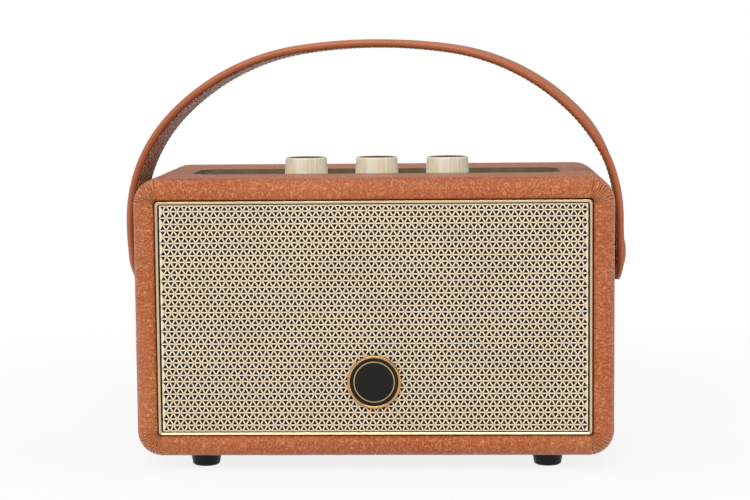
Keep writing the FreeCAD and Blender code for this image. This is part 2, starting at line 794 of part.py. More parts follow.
def make_tray():
    """Pressed metal recess with a flange that lies under the leather."""
    rim = TOP - LEATHER
    outer = recess_space(SHEET, (FLOOR_UNDERSIDE, rim))
    inner = recess_space(0, (RECESS_FLOOR, rim))
    flange = level_plate(
        RECESS_LENGTH + 2 * FLANGE - 0.4,
        RECESS_WIDTH + 2 * FLANGE - 0.4,
        RECESS_CORNER + FLANGE,
        (rim - SHEET, rim),
    )
    cuts = [inner]

    def floor_hole(x, radius, y=RECESS_Y):
        cuts.append(rod(radius, Vector(x, y, FLOOR_UNDERSIDE - 1), Z_AXIS, 3))

    for _, x in knob_places():
        floor_hole(x, BUSH_RADIUS)
    for side in (-1, 1):
        floor_hole(side * BUTTON_X, BUTTON_RADIUS + BUTTON_CLEARANCE)
    floor_hole(LENS_X, LENS_RADIUS)
    floor_hole(JACK_X, JACK_NECK, JACK_Y)
    return compound_cut(outer.fuse(flange), cuts).removeSplitter()


def make_knob(x):
    """Tapered turned knob with a dished top, hollow below to clear the nut."""
    foot = RECESS_FLOOR + KNOB_GAP
    height = KNOB_TOP - foot
    hollow = 8.2
    hollow_height = 6.0
    bore_height = KNOB_TOP - 3.8 - foot
    dish = KNOB_TOP_RADIUS - KNOB_CHAMFER - KNOB_LAND
    knob = lathe(
        [
            (hollow, 0),
            (KNOB_FOOT_RADIUS, 0),
            (KNOB_TOP_RADIUS, height - KNOB_CHAMFER),
            (KNOB_TOP_RADIUS - KNOB_CHAMFER, height),
            (dish, height),
            (dish - 0.6, height - KNOB_DISH * 0.7),
            (*crowned(dish - 0.6, height - KNOB_DISH * 0.7, height - KNOB_DISH), 0, height - KNOB_DISH),
            (0, hollow_height),
            (hollow, hollow_height),
        ],
        Vector(x, RECESS_Y, foot),
        Z_AXIS,
    )
    bore = rod(SHAFT_RADIUS, Vector(x, RECESS_Y, foot), Z_AXIS, bore_height)
    bore = bore.cut(shaft_flat(x))
    pointer = box(
        around(x, 0.6),
        (RECESS_Y + dish - 2.2, RECESS_Y + KNOB_TOP_RADIUS + 1),
        (KNOB_TOP - KNOB_DISH, KNOB_TOP + 1),
    )
    return compound_cut(knob, [bore, pointer])


def shaft_flat(x):
    """The piece that is missing from the shaft's top, which makes it D-shaped."""
    return box(
        around(x, SHAFT_RADIUS + 1),
        (RECESS_Y - SHAFT_RADIUS - 1, RECESS_Y - SHAFT_FLAT),
        (RECESS_FLOOR + BUSH_HEIGHT, KNOB_TOP),
    )


def make_pots():
    """Potentiometer, shaft and knob for each control, with the nuts in one group."""
    nodes = {}
    nuts = []
    for name, x in knob_places():
        base = Vector(x, RECESS_Y, CONTROL_BOARD_TOP)
        bush_top = POT_HEIGHT + BUSH_HEIGHT
        bore = SHAFT_RADIUS + RUNNING_CLEARANCE
        pot = lathe(
            [
                (0, 0),
                (POT_RADIUS, 0),
                (POT_RADIUS, POT_HEIGHT),
                (BUSH_RADIUS, POT_HEIGHT),
                (BUSH_RADIUS, bush_top),
                (bore, bush_top),
                (bore, 1),
                (0, 1),
            ],
            base,
            Z_AXIS,
        )
        shaft = rod(SHAFT_RADIUS, base + Z_AXIS * 1.2, Z_AXIS, KNOB_TOP - 4 - CONTROL_BOARD_TOP - 1.2)
        corner = NUT_ACROSS_FLATS / math.sqrt(3)
        corners = [
            Vector(x + corner * math.cos(turn), RECESS_Y + corner * math.sin(turn), RECESS_FLOOR)
            for turn in [math.radians(60 * index) for index in range(6)]
        ]
        nut = Part.Face(Part.makePolygon(corners + corners[:1])).extrude(Z_AXIS * NUT_HEIGHT)
        nuts.append(nut.cut(rod(BUSH_RADIUS, Vector(x, RECESS_Y, RECESS_FLOOR), Z_AXIS, NUT_HEIGHT)))
        nodes[f"{name}_knob"] = make_knob(x)
        nodes[f"{name}_shaft"] = shaft.cut(shaft_flat(x))
        nodes[f"{name}_pot"] = pot
    nodes["pot_nuts"] = Part.makeCompound(nuts)
    return nodes


def make_buttons():
    """Two push buttons held up against the recess floor, and the switches under them."""
    shoulder_top = FLOOR_UNDERSIDE - 0.1
    shoulder_foot = shoulder_top - BUTTON_SHOULDER
    button_top = RECESS_FLOOR + BUTTON_PROUD
    profile = [
        (0, shoulder_foot),
        (BUTTON_RADIUS + 1, shoulder_foot),
        (BUTTON_RADIUS + 1, shoulder_top),
        (BUTTON_RADIUS, shoulder_top),
        (BUTTON_RADIUS, button_top - 0.4),
        (BUTTON_RADIUS - 0.4, button_top),
        (*crowned(BUTTON_RADIUS - 0.4, button_top, button_top - 0.3), 0, button_top - 0.3),
    ]
    nodes = {}
    switches = []
    for name, side in (("source", -1), ("power", 1)):
        centre = Vector(side * BUTTON_X, RECESS_Y, 0)
        nodes[f"{name}_button"] = lathe(profile, centre, Z_AXIS)
        plunger_top = shoulder_foot - BUTTON_TRAVEL - 0.1
        case = box(
            around(side * BUTTON_X, 3),
            around(RECESS_Y, 3),
            (CONTROL_BOARD_TOP, plunger_top - 1),
        )
        plunger = rod(1.6, centre + Z_AXIS * (plunger_top - 1), Z_AXIS, 1)
        switches.append(case.fuse(plunger))
    nodes["button_switches"] = Part.makeCompound(switches)
    return nodes


def make_aux_jack():
    """Round socket that hangs from the recess floor through a hole in the control board."""
    mouth = RECESS_FLOOR + JACK_COLLAR[1]
    bottom = mouth - JACK_DEPTH
    profile = [
        (0, bottom - 1),
        (JACK_RADIUS, bottom - 1),
        (JACK_RADIUS, FLOOR_UNDERSIDE),
        (JACK_NECK, FLOOR_UNDERSIDE),
        (JACK_NECK, RECESS_FLOOR),
        (JACK_COLLAR[0], RECESS_FLOOR),
        (JACK_COLLAR[0], mouth - 0.3),
        (JACK_COLLAR[0] - 0.3, mouth),
        (JACK_BORE, mouth),
        (JACK_BORE, bottom),
        (0, bottom),
    ]
    return lathe(profile, Vector(JACK_X, JACK_Y, 0), Z_AXIS)


def make_status_lens():
    """Light pipe from the control board to a small dome above the floor."""
    top = RECESS_FLOOR + 0.3
    profile = [
        (0, CONTROL_BOARD_TOP),
        (LENS_RADIUS, CONTROL_BOARD_TOP),
        (LENS_RADIUS, top),
        (*crowned(LENS_RADIUS, top, top + 0.4), 0, top + 0.4),
    ]
    return lathe(profile, Vector(LENS_X, RECESS_Y, 0), Z_AXIS)


def make_control_board():
    """Circuit board that hangs under the recess on four standoffs."""
    z_range = (CONTROL_BOARD_TOP - PCB, CONTROL_BOARD_TOP)
    board = level_plate(*CONTROL_BOARD_SIZE, 3, z_range)
    below = Z_AXIS * z_range[0]
    cuts = [rod(STANDOFF_STUD, Vector(x, y, 0) + below, Z_AXIS, PCB) for x, y in CONTROL_POSTS]
    cuts.append(rod(JACK_RADIUS + PANEL_GAP, Vector(JACK_X, JACK_Y, 0) + below, Z_AXIS, PCB))
    return compound_cut(board, cuts)


# ---------------------------------------------------------------- electronics

AMPLIFIER_X = (4.0, 104.0)
AMPLIFIER_Y = (-8.0, 52.0)
AMPLIFIER_LIFT = 6.0
POST_INSET = 5.0
POST_RADIUS = 3.0
CAPACITOR = (8.0, 20.0)
CAPACITOR_PLACES = ((24.0, 38.0), (43.0, 38.0))
COIL = (12.0, 9.0)
COIL_PLACES = ((68.0, 34.0), (84.0, 34.0))
SINK_X = (28.0, 84.0)
SINK_Y = (4.0, 20.0)
SINK_BASE = 3.0
SINK_HEIGHT = 15.0
FINS = 7
FIN = 1.2
BATTERY_X = (-96.0, -40.0)
BATTERY_Y = (-17.0, 48.0)
CELL = 18.6
BRACKET_SHEET = 1.0
BRACKET_WIDTH = 14.0
BRACKET_FOOT = 11.0
BRACKET_HEAD = (2.8, 1.8)
BRACKET_SCREW_DEPTH = 4.0


def amplifier_posts():
    """x and y of the standoffs under the amplifier board."""
    across = (AMPLIFIER_X[0] + POST_INSET, AMPLIFIER_X[1] - POST_INSET)
    along = (AMPLIFIER_Y[0] + POST_INSET, AMPLIFIER_Y[1] - POST_INSET)
    return [(x, y) for x in across for y in along]


def bracket_screws():
    """x and y of the two screws of the battery bracket."""
    middle = sum(BATTERY_Y) / 2
    out = BRACKET_FOOT - POST_INSET
    return [(BATTERY_X[0] - out, middle), (BATTERY_X[1] + out, middle)]


def make_amplifier_board():
    """Amplifier board with capacitors, coils and a finned heat sink."""
    floor = BOARD_FLOOR + AMPLIFIER_LIFT
    top = floor + PCB
    board = box(AMPLIFIER_X, AMPLIFIER_Y, (floor, top))
    holes = [rod(STANDOFF_STUD, Vector(x, y, floor), Z_AXIS, PCB) for x, y in amplifier_posts()]
    radius, height = CAPACITOR
    parts = [rod(radius, Vector(x, y, top), Z_AXIS, height) for x, y in CAPACITOR_PLACES]
    side, height = COIL
    parts += [box(around(x, side / 2), around(y, side / 2), (top, top + height)) for x, y in COIL_PLACES]
    parts.append(box(SINK_X, SINK_Y, (top, top + SINK_BASE)))
    step = (SINK_Y[1] - SINK_Y[0] - FIN) / (FINS - 1)
    for index in range(FINS):
        start = SINK_Y[0] + step * index
        parts.append(box(SINK_X, (start, start + FIN), (top, top + SINK_HEIGHT)))
    return compound_cut(board, holes).multiFuse(parts).removeSplitter()


def make_standoffs():
    """Round posts under the amplifier board and between recess and control board."""
    posts = []

    def post(x, y, foot, height, radius, stud_up, stud_down):
        profile = [
            (0, -stud_down),
            (STANDOFF_STUD, -stud_down),
            (STANDOFF_STUD, 0),
            (radius, 0),
            (radius, height),
            (STANDOFF_STUD, height),
            (STANDOFF_STUD, height + stud_up),
            (0, height + stud_up),
        ]
        profile = [step for index, step in enumerate(profile) if index == 0 or step != profile[index - 1]]
        posts.append(lathe(profile, Vector(x, y, foot), Z_AXIS))

    for x, y in amplifier_posts():
        post(x, y, BOARD_FLOOR, AMPLIFIER_LIFT, POST_RADIUS, PCB + 1, SCREW_DEPTH / 2)
    for x, y in CONTROL_POSTS:
        post(x, y, CONTROL_BOARD_TOP, POT_HEIGHT, STANDOFF_RADIUS, 0, PCB + 1)
    return Part.makeCompound(posts)


def make_battery():
    """Three round cells side by side in a shrink sleeve, held down by a sheet bracket."""
    radius = CELL / 2
    low, high = BATTERY_X
    z_range = (BOARD_FLOOR, BOARD_FLOOR + CELL)
    pack = box((low + radius, high - radius), BATTERY_Y, z_range)
    ends = [
        rod(radius, Vector(x, BATTERY_Y[0], BOARD_FLOOR + radius), Y_AXIS, BATTERY_Y[1] - BATTERY_Y[0])
        for x in (low + radius, high - radius)
    ]
    pack = pack.multiFuse(ends).removeSplitter()
    strip = around(sum(BATTERY_Y) / 2, BRACKET_WIDTH / 2)
    sheet = BRACKET_SHEET
    foot = BRACKET_FOOT
    saddle = box((low - sheet, high + sheet), strip, (BOARD_FLOOR, z_range[1] + sheet))
    feet = box((low - foot, high + foot), strip, (BOARD_FLOOR, BOARD_FLOOR + sheet))
    bracket = saddle.fuse(feet).cut(box((low, high), strip, z_range))
    holes = [rod(STANDOFF_STUD, Vector(x, y, BOARD_FLOOR), Z_AXIS, sheet) for x, y in bracket_screws()]
    profile = screw_profile(STANDOFF_STUD, sheet + BRACKET_SCREW_DEPTH, *BRACKET_HEAD, -sheet)
    screws = [lathe(profile, Vector(x, y, BOARD_FLOOR), -Z_AXIS) for x, y in bracket_screws()]
    return {
        "battery_pack": pack,
        "battery_bracket": compound_cut(bracket, holes).removeSplitter(),
        "bracket_screws": Part.makeCompound(screws),
    }


# ---------------------------------------------------------------- rear panel

PORT_X = 58.0
PORT_Z = MIDDLE + 12.0
PORT_RADIUS = 16.0
PORT_WALL = 1.6
PORT_FLANGE = 22.5
PORT_INNER_END = 14.0
SOCKET_X = -84.0
SOCKET_Z = MIDDLE - 36.0
SOCKET_RADIUS = 5.2
SOCKET_FLANGE = 7.0
SOCKET_BORE = 2.9
SOCKET_PIN = 1.0
SOCKET_LENGTH = 14.0
SOCKET_BORE_DEPTH = 9.0
SOCKET_FACE = 1.0
PORT_FLARE = 3.0
PORT_FACE = 1.8
REAR_HEAD = (1.9, 1.2)


def make_rear_panel():
    """Panel in the back rebate with holes for the port, the charging socket and its screws."""
    gap = LEATHER - PANEL_GAP
    panel = upright_plate(
        OPENING_WIDTH + 2 * gap,
        OPENING_HEIGHT + 2 * gap,
        OPENING_CORNER + gap,
        (REAR_FACE - REAR_PANEL, REAR_FACE),
    )
    start = REAR_FACE - REAR_PANEL
    cuts = [
        rod(PORT_RADIUS + PORT_WALL, Vector(PORT_X, start, PORT_Z), Y_AXIS, REAR_PANEL),
        rod(SOCKET_RADIUS, Vector(SOCKET_X, start, SOCKET_Z), Y_AXIS, REAR_PANEL),
    ]
    for x, z in rear_screw_places():
        cuts.append(rod(REAR_SCREW_RADIUS, Vector(x, start, z), Y_AXIS, REAR_PANEL))
    return compound_cut(panel, cuts)


def make_rear_screws():
    """Pan-head screws through the rear panel into the boards' rebates."""
    profile = screw_profile(REAR_SCREW_RADIUS, REAR_PANEL + SCREW_DEPTH - 1, *REAR_HEAD, 0)
    screws = [lathe(profile, Vector(x, REAR_FACE, z), -Y_AXIS) for x, z in rear_screw_places()]
    return Part.makeCompound(screws)


def make_bass_port():
    """Moulded tube with a flared mouth that sits on the rear panel."""
    outside = PORT_RADIUS + PORT_WALL
    inner_end = PORT_INNER_END - REAR_FACE
    bend = PORT_FLARE * (1 - math.sqrt(0.5))
    profile = [
        (PORT_RADIUS, inner_end),
        (outside, inner_end),
        (outside, 0),
        (PORT_FLANGE, 0),
        (PORT_FLANGE, PORT_FACE - 0.8),
        (PORT_FLANGE - 1, PORT_FACE),
        (PORT_RADIUS + PORT_FLARE, PORT_FACE),
        (PORT_RADIUS + bend, PORT_FACE - bend, PORT_RADIUS, PORT_FACE - PORT_FLARE),
    ]
    return lathe(profile, Vector(PORT_X, REAR_FACE, PORT_Z), Y_AXIS)


def make_dc_socket():
    """Round charging socket with a centre pin."""
    profile = [
        (0, -SOCKET_LENGTH),
        (SOCKET_RADIUS, -SOCKET_LENGTH),
        (SOCKET_RADIUS, 0),
        (SOCKET_FLANGE, 0),
        (SOCKET_FLANGE, SOCKET_FACE - 0.4),
        (SOCKET_FLANGE - 0.4, SOCKET_FACE),
        (SOCKET_BORE, SOCKET_FACE),
        (SOCKET_BORE, -SOCKET_BORE_DEPTH),
        (SOCKET_PIN, -SOCKET_BORE_DEPTH),
        (SOCKET_PIN, -0.5),
        (SOCKET_PIN * 0.5, 0),
        (0, 0),
    ]
    return lathe(profile, Vector(SOCKET_X, REAR_FACE, SOCKET_Z), Y_AXIS)


# ---------------------------------------------------------------- strap handle

STRAP_FACE = (
    STRAP_RADII[0] * math.sin(math.radians(STRAP_TURNS[0]))
    + STRAP_RADII[1] * (math.sin(math.radians(STRAP_TURNS[1])) - math.sin(math.radians(STRAP_TURNS[0])))
    + STRAP_RADII[2] * (1 - math.sin(math.radians(STRAP_TURNS[1])))
)
STRAP_THICKNESS = OUTER_PLY + LINING_PLY
SPACER_RADIUS = 9.0
HEAD_RADIUS = 6.5
HEAD_HEIGHT = 1.4


def arch_line(depth, strap_end):
    """Edges of the half arch at a depth under the strap's outer face, from crown to end."""
    edges = []
    centre = Vector(0, 0, STRAP_TOP - STRAP_RADII[0])
    start = 0.0
    for radius, stop in zip(STRAP_RADII, STRAP_TURNS):
        if edges:
            turn = math.radians(start)
            shift = previous - radius
            centre = centre + Vector(math.sin(turn) * shift, 0, math.cos(turn) * shift)
        points = []
        for angle in (start, (start + stop) / 2, stop):
            turn = math.radians(angle)
            points.append(centre + Vector(math.sin(turn), 0, math.cos(turn)) * (radius - depth))
        edges.append(Part.Arc(*points).toShape())
        previous = radius
        start = stop
    end = points[-1]
    edges.append(Part.makeLine(end, Vector(end.x, 0, strap_end)))
    return edges


def strap_ply(outer_depth, inner_depth, margin):
    """One ply of the arch between two depths, with rounded ends and a hole at each pivot.

    The ply is narrower than the strap by the margin at each edge.
    """
    half_width = STRAP_WIDTH / 2 - margin
    outer = arch_line(outer_depth, PIVOT_Z - half_width)
    inner = arch_line(inner_depth, PIVOT_Z - half_width)
    crown = Part.makeLine(Vector(0, 0, STRAP_TOP - outer_depth), Vector(0, 0, STRAP_TOP - inner_depth))
    foot = Part.makeLine(
        Vector(STRAP_FACE - outer_depth, 0, PIVOT_Z - half_width),
        Vector(STRAP_FACE - inner_depth, 0, PIVOT_Z - half_width),
    )
    wire = Part.Wire(Part.sortEdges(outer + [foot] + inner + [crown])[0])
    half = Part.Face(wire).extrude(Y_AXIS * half_width * 2)
    half.translate(Y_AXIS * -half_width)
    reach = (STRAP_FACE - STRAP_THICKNESS - 1, STRAP_FACE + 1)
    corners = box(reach, around(0, STRAP_WIDTH), (PIVOT_Z - STRAP_WIDTH, PIVOT_Z))
    corners = corners.cut(strap_bolt_line(1, half_width, reach))
    hole = strap_bolt_line(1, BUSHING_RADIUS + RUNNING_CLEARANCE, reach)
    half = compound_cut(half, [corners, hole])
    return half.fuse(half.mirror(Vector(0, 0, 0), X_AXIS)).removeSplitter()


def turn_edges(ply):
    """Round the long edges of a ply, where the leather is turned over."""
    hole = BUSHING_RADIUS + 1

    def on_rim(edge):
        places = [edge.valueAt(edge.FirstParameter), edge.valueAt(edge.LastParameter)]
        beyond = [math.hypot(place.y, place.z - PIVOT_Z) > hole for place in places]
        across = abs(edge.tangentAt(edge.FirstParameter).y) > 0.9 and places[0].z > PIVOT_Z
        return all(beyond) and not across

    return round_edges(ply, TURNED_EDGE, on_rim)


def make_strap():
    """Two stitched plies, with the bushes that they turn on and the screws that hold those."""
    side_face = CABINET_WIDTH / 2
    board_face = side_face - LEATHER
    inner_face = STRAP_FACE - STRAP_THICKNESS - SIDE_CLEARANCE
    head_face = STRAP_FACE + SIDE_CLEARANCE
    spacer = [
        (BOLT_RADIUS, side_face),
        (SPACER_RADIUS, side_face),
        (SPACER_RADIUS, inner_face - 0.5),
        (SPACER_RADIUS - 0.5, inner_face),
        (BUSHING_RADIUS, inner_face),
        (BUSHING_RADIUS, head_face),
        (BOLT_RADIUS, head_face),
    ]
    screw = [
        (0, board_face - INSERT_DEPTH + 1),
        (BOLT_RADIUS, board_face - INSERT_DEPTH + 1),
        (BOLT_RADIUS, head_face),
        (HEAD_RADIUS, head_face),
        (HEAD_RADIUS, head_face + 0.5),
        (*crowned(HEAD_RADIUS, head_face + 0.5, head_face + HEAD_HEIGHT), 0, head_face + HEAD_HEIGHT),
    ]
    insert = [
        (BOLT_RADIUS, board_face - INSERT_DEPTH),
        (INSERT_RADIUS, board_face - INSERT_DEPTH),
        (INSERT_RADIUS, board_face),
        (BOLT_RADIUS, board_face),
    ]
    slot_depth = 0.7
    slot = box(
        (head_face + HEAD_HEIGHT - slot_depth, head_face + HEAD_HEIGHT + 1),
        around(0, HEAD_RADIUS),
        around(PIVOT_Z, 0.7),
    )

    def both_sides(profile, cut=None):
        """The turned piece on the right, and its mirror image on the left."""
        right = lathe(profile, Vector(0, 0, PIVOT_Z), X_AXIS)
        if cut:
            right = right.cut(cut)
        return Part.makeCompound([right, right.mirror(Vector(0, 0, 0), X_AXIS)])

    return {
        "strap_outer": turn_edges(strap_ply(0, OUTER_PLY, 0)),
        "strap_lining": strap_ply(OUTER_PLY, STRAP_THICKNESS, LINING_MARGIN),
        "strap_spacers": both_sides(spacer),
        "strap_screws": both_sides(screw, slot),
        "side_inserts": both_sides(insert),
    }


# ---------------------------------------------------------------- whole radio

def build():
    """Every node of the radio by name."""
    nodes = {}
    nodes.update(make_boards())
    nodes["leather_wrap"] = make_leather()
    nodes.update(make_feet())
    nodes["grille_frame"] = make_grille_frame()
    nodes["grille_mesh"] = make_mesh()
    nodes["grille_cloth"] = make_cloth()
    nodes.update(make_badge())
    nodes["front_baffle"] = make_baffle()
    nodes.update(make_woofer())
    nodes.update(make_tweeters())
    nodes["driver_screws"] = make_driver_screws()
    nodes["control_tray"] = make_tray()
    nodes.update(make_pots())
    nodes.update(make_buttons())
    nodes["aux_jack"] = make_aux_jack()
    nodes["status_lens"] = make_status_lens()
    nodes["control_board"] = make_control_board()
    nodes["amplifier_board"] = make_amplifier_board()
    nodes["board_standoffs"] = make_standoffs()
    nodes.update(make_battery())
    nodes["rear_panel"] = make_rear_panel()
    nodes["rear_screws"] = make_rear_screws()
    nodes["bass_port"] = make_bass_port()
    nodes["dc_socket"] = make_dc_socket()
    nodes.update(make_strap())
    return nodes


os.makedirs("parts", exist_ok=True)
for node_name, shape in build().items():
    shape.exportStep(f"parts/{node_name}.step")
    print(node_name, len(shape.Solids), shape.isValid(), round(shape.Volume))
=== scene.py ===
"""Looks of a leather-covered portable radio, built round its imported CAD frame.

Lengths are in metres, in the CAD frame: +X to the right, +Y from the grille to the back and
+Z up, with the origin midway between the four feet on the surface that they stand on.
"""

import logging
import math
from collections.abc import Callable, Iterable, Sequence
from dataclasses import dataclass, field
from enum import Enum

import bmesh
import bpy
from mathutils import Matrix, Vector, noise


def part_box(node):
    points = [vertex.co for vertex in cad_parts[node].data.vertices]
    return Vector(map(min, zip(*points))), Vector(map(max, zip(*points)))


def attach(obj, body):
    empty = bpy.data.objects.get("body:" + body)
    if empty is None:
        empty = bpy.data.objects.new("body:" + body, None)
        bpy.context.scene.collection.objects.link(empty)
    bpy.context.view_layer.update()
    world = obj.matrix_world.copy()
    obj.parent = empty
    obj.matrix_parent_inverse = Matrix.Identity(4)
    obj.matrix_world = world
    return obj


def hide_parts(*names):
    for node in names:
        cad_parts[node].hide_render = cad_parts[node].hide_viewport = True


LOG = logging.getLogger("radio")
MM = 0.001

NEAR = 1e-6  # metres within which two places count as one
Colour = tuple[float, float, float]
Point = tuple[float, float]


def clamp(value: float) -> float:
    """The value, held between 0 and 1."""
    return max(0.0, min(1.0, value))


def paint_chart(red: int, green: int, blue: int) -> Colour:
    """Linear colour of a paint chart's 0 to 255 values."""
    shares = [value / 255 for value in (red, green, blue)]
    linear = [s / 12.92 if s <= 0.04045 else ((s + 0.055) / 1.055) ** 2.4 for s in shares]
    return (linear[0], linear[1], linear[2])


# ---------------------------------------------------------------- shader expressions


class Signal:
    """A shader socket. Arithmetic on it adds Math nodes to its tree."""

    def __init__(self, paint: "Paint", socket: bpy.types.NodeSocket) -> None:
        """Remember the tree and the socket."""
        self.paint = paint
        self.socket = socket

    def math(self, operation: str, *inputs: "Signal | float") -> "Signal":
        """A Math node on the given inputs."""
        return self.paint.node("ShaderNodeMath", {"operation": operation}, dict(enumerate(inputs)))

    def __add__(self, other: "Signal | float") -> "Signal":
        """Sum."""
        return self.math("ADD", self, other)

    __radd__ = __add__

    def __sub__(self, other: "Signal | float") -> "Signal":
        """Difference."""
        return self.math("SUBTRACT", self, other)

    def __rsub__(self, other: "Signal | float") -> "Signal":
        """Difference, from a number."""
        return self.math("SUBTRACT", other, self)

    def __mul__(self, other: "Signal | float") -> "Signal":
        """Product."""
        return self.math("MULTIPLY", self, other)

    __rmul__ = __mul__

    def __truediv__(self, other: "Signal | float") -> "Signal":
        """Quotient."""
        return self.math("DIVIDE", self, other)

    def __pow__(self, other: "Signal | float") -> "Signal":
        """Power."""
        return self.math("POWER", self, other)

    def size(self) -> "Signal":
        """Absolute value."""
        return self.math("ABSOLUTE", self)

    def sine(self) -> "Signal":
        """Sine of the value in radians."""
        return self.math("SINE", self)

    def nearest(self) -> "Signal":
        """Nearest whole number."""
        return self.math("ROUND", self)

    def above(self, limit: float) -> "Signal":
        """One where the value is above a limit, and nothing elsewhere."""
        return self.math("GREATER_THAN", self, limit)

    def rise(self, low: float, high: float) -> "Signal":
        """Smooth step from nothing at one value to one at another."""
        return self.paint.node(
            "ShaderNodeMapRange",
            {"interpolation_type": "SMOOTHSTEP", "clamp": True},
            {"Value": self, "From Min": low, "From Max": high, "To Min": 0.0, "To Max": 1.0},
        )


class Space(Enum):
    """Where a pattern's coordinates come from."""

    SOLID = "Object"
    SURFACE = "UV"


class Paint:
    """A node tree that is written as expressions."""

    def __init__(self, tree: bpy.types.NodeTree) -> None:
        """Start with an empty tree."""
        self.tree = tree
        tree.nodes.clear()

    def node(
        self,
        kind: str,
        settings: dict[str, object] | None = None,
        sockets: dict[int | str, object] | None = None,
        output: int | str = 0,
    ) -> Signal:
        """Add one node.

        Args:
            kind: The node's type.
            settings: Its properties, set first.
            sockets: Values or signals for its inputs, by name or number.
            output: The output that is wanted.

        Returns:
            That output as a signal.
        """
        made = self.tree.nodes.new(kind)
        for name, value in (settings or {}).items():
            setattr(made, name, value)
        for port, value in (sockets or {}).items():
            if isinstance(value, Signal):
                self.tree.links.new(value.socket, made.inputs[port])
            elif isinstance(value, tuple) and len(
                made.inputs[port].default_value
            ) == len(value) + 1:
                made.inputs[port].default_value = (*value, 1.0)
            else:
                made.inputs[port].default_value = value
        return Signal(self, made.outputs[output] if made.outputs else None)

    def place(
        self,
        scale: Sequence[float] = (1, 1, 1),
        space: Space = Space.SOLID,
    ) -> Signal:
        """Coordinates for a pattern, in metres before they are scaled.

        Args:
            scale: Scale along each axis.
            space: Object coordinates or the piece's own UV map.

        Returns:
            The coordinates.
        """
        spot = self.node("ShaderNodeTexCoord", output=space.value)
        return self.node("ShaderNodeMapping", {}, {"Vector": spot, "Scale": tuple(scale)})

    def axes(self, vector: Signal) -> tuple[Signal, Signal, Signal]:
        """The three parts of a vector."""
        parts = self.node("ShaderNodeSeparateXYZ", {}, {0: vector})
        return tuple(Signal(self, port) for port in parts.socket.node.outputs)

    def noise(
        self, where: Signal, scale: float, detail: float = 2.0, roughness: float = 0.5
    ) -> Signal:
        """Smooth random values from 0 to 1."""
        return self.node(
            "ShaderNodeTexNoise",
            {},
            {"Vector": where, "Scale": scale, "Detail": detail, "Roughness": roughness},
        )

    def cells(self, where: Signal, scale: float, feature: str = "F1", flat: bool = False) -> Signal:
        """Distances in a field of random cells.

        Args:
            where: Coordinates.
            scale: Cells per unit.
            feature: F1 for the distance to the cell's centre, DISTANCE_TO_EDGE for its border.
            flat: Whether the cells lie in the plane of the first two coordinates.

        Returns:
            The distance, in cells.
        """
        settings = {"feature": feature, "voronoi_dimensions": "2D" if flat else "3D"}
        return self.node(
            "ShaderNodeTexVoronoi", settings, {"Vector": where, "Scale": scale}, "Distance"
        )

    def mix(self, share: Signal | float, first: Signal | Colour, second: Signal | Colour) -> Signal:
        """Blend two colours by a share."""
        return self.node("ShaderNodeMix", {"data_type": "RGBA"}, {0: share, 6: first, 7: second}, 2)

    def sway(self, where: Signal, amount: float, scale: float) -> Signal:
        """Coordinates pushed about at random, so that a pattern isn't regular."""
        push = self.node(
            "ShaderNodeTexNoise", {}, {"Vector": where, "Scale": scale, "Detail": 1.0}, "Color"
        )
        centred = self.node(
            "ShaderNodeVectorMath", {"operation": "SUBTRACT"}, {0: push, 1: (0.5, 0.5, 0.5)}
        )
        scaled = self.node(
            "ShaderNodeVectorMath", {"operation": "SCALE"}, {0: centred, "Scale": amount}
        )
        return self.node("ShaderNodeVectorMath", {"operation": "ADD"}, {0: where, 1: scaled})

    def background_rays(self) -> Signal:
        """One for rays that show the surroundings as they are: to the eye and in metal or glass."""
        eye, gloss, glass = (
            self.node("ShaderNodeLightPath", output=kind)
            for kind in ("Is Camera Ray", "Is Glossy Ray", "Is Transmission Ray")
        )
        return eye.math("MAXIMUM", eye.math("MAXIMUM", eye, gloss), glass)

    def bump(self, height: Signal, distance: float) -> Signal:
        """A normal from a height of 0 to 1 that stands for a distance in metres."""
        sockets = {"Height": height, "Distance": distance, "Strength": 1.0}
        return self.node("ShaderNodeBump", {}, sockets)


class Material(Paint):
    """A new surface material."""

    def __init__(self, name: str) -> None:
        """Make an empty material with a node tree."""
        self.result = bpy.data.materials.new(name)
        self.result.use_nodes = True
        super().__init__(self.result.node_tree)

    def surface(self, **sockets: object) -> bpy.types.Material:
        """Close the tree with a Principled shader.

        Args:
            sockets: The shader's inputs, with underscores for the spaces in their names.

        Returns:
            The material.
        """
        named = {name.replace("_", " "): value for name, value in sockets.items()}
        shader = self.node("ShaderNodeBsdfPrincipled", {}, named)
        self.node("ShaderNodeOutputMaterial", {}, {"Surface": shader})
        return self.result


# ---------------------------------------------------------------- finishes


@dataclass(frozen=True)
class Gathers:
    """Radial creases where leather is drawn round the four corners of an opening."""

    half_width: float
    half_height: float
    middle: float
    reach: Point
    spacing: float

    def wave(self, paint: "Paint") -> tuple[Signal, Signal]:
        """The creases.

        Args:
            paint: The tree that they are added to.

        Returns:
            Their height from 0 to 1, and a mask of where they are.
        """
        across, depth, up = paint.axes(paint.place())
        right = across.size() - self.half_width
        high = (up - self.middle).size() - self.half_height
        wander = paint.noise(paint.place(), 190.0, 2.0, 0.5)
        patchy = paint.noise(paint.place(), 420.0, 1.0, 0.5)
        turn = high.math("ARCTAN2", high, right) + (wander - 0.5) * 0.34
        height = (turn * (2 * math.pi / self.spacing)).sine() * 0.5 + 0.5
        away = (right ** 2.0 + high ** 2.0) ** 0.5
        mask = right.rise(-1.0 * MM, 1.5 * MM) * high.rise(-1.0 * MM, 1.5 * MM)
        mask = mask * away.rise(2.5 * MM, 6.0 * MM)
        return height, mask * depth.size().rise(*self.reach) * patchy.rise(0.2, 0.5)


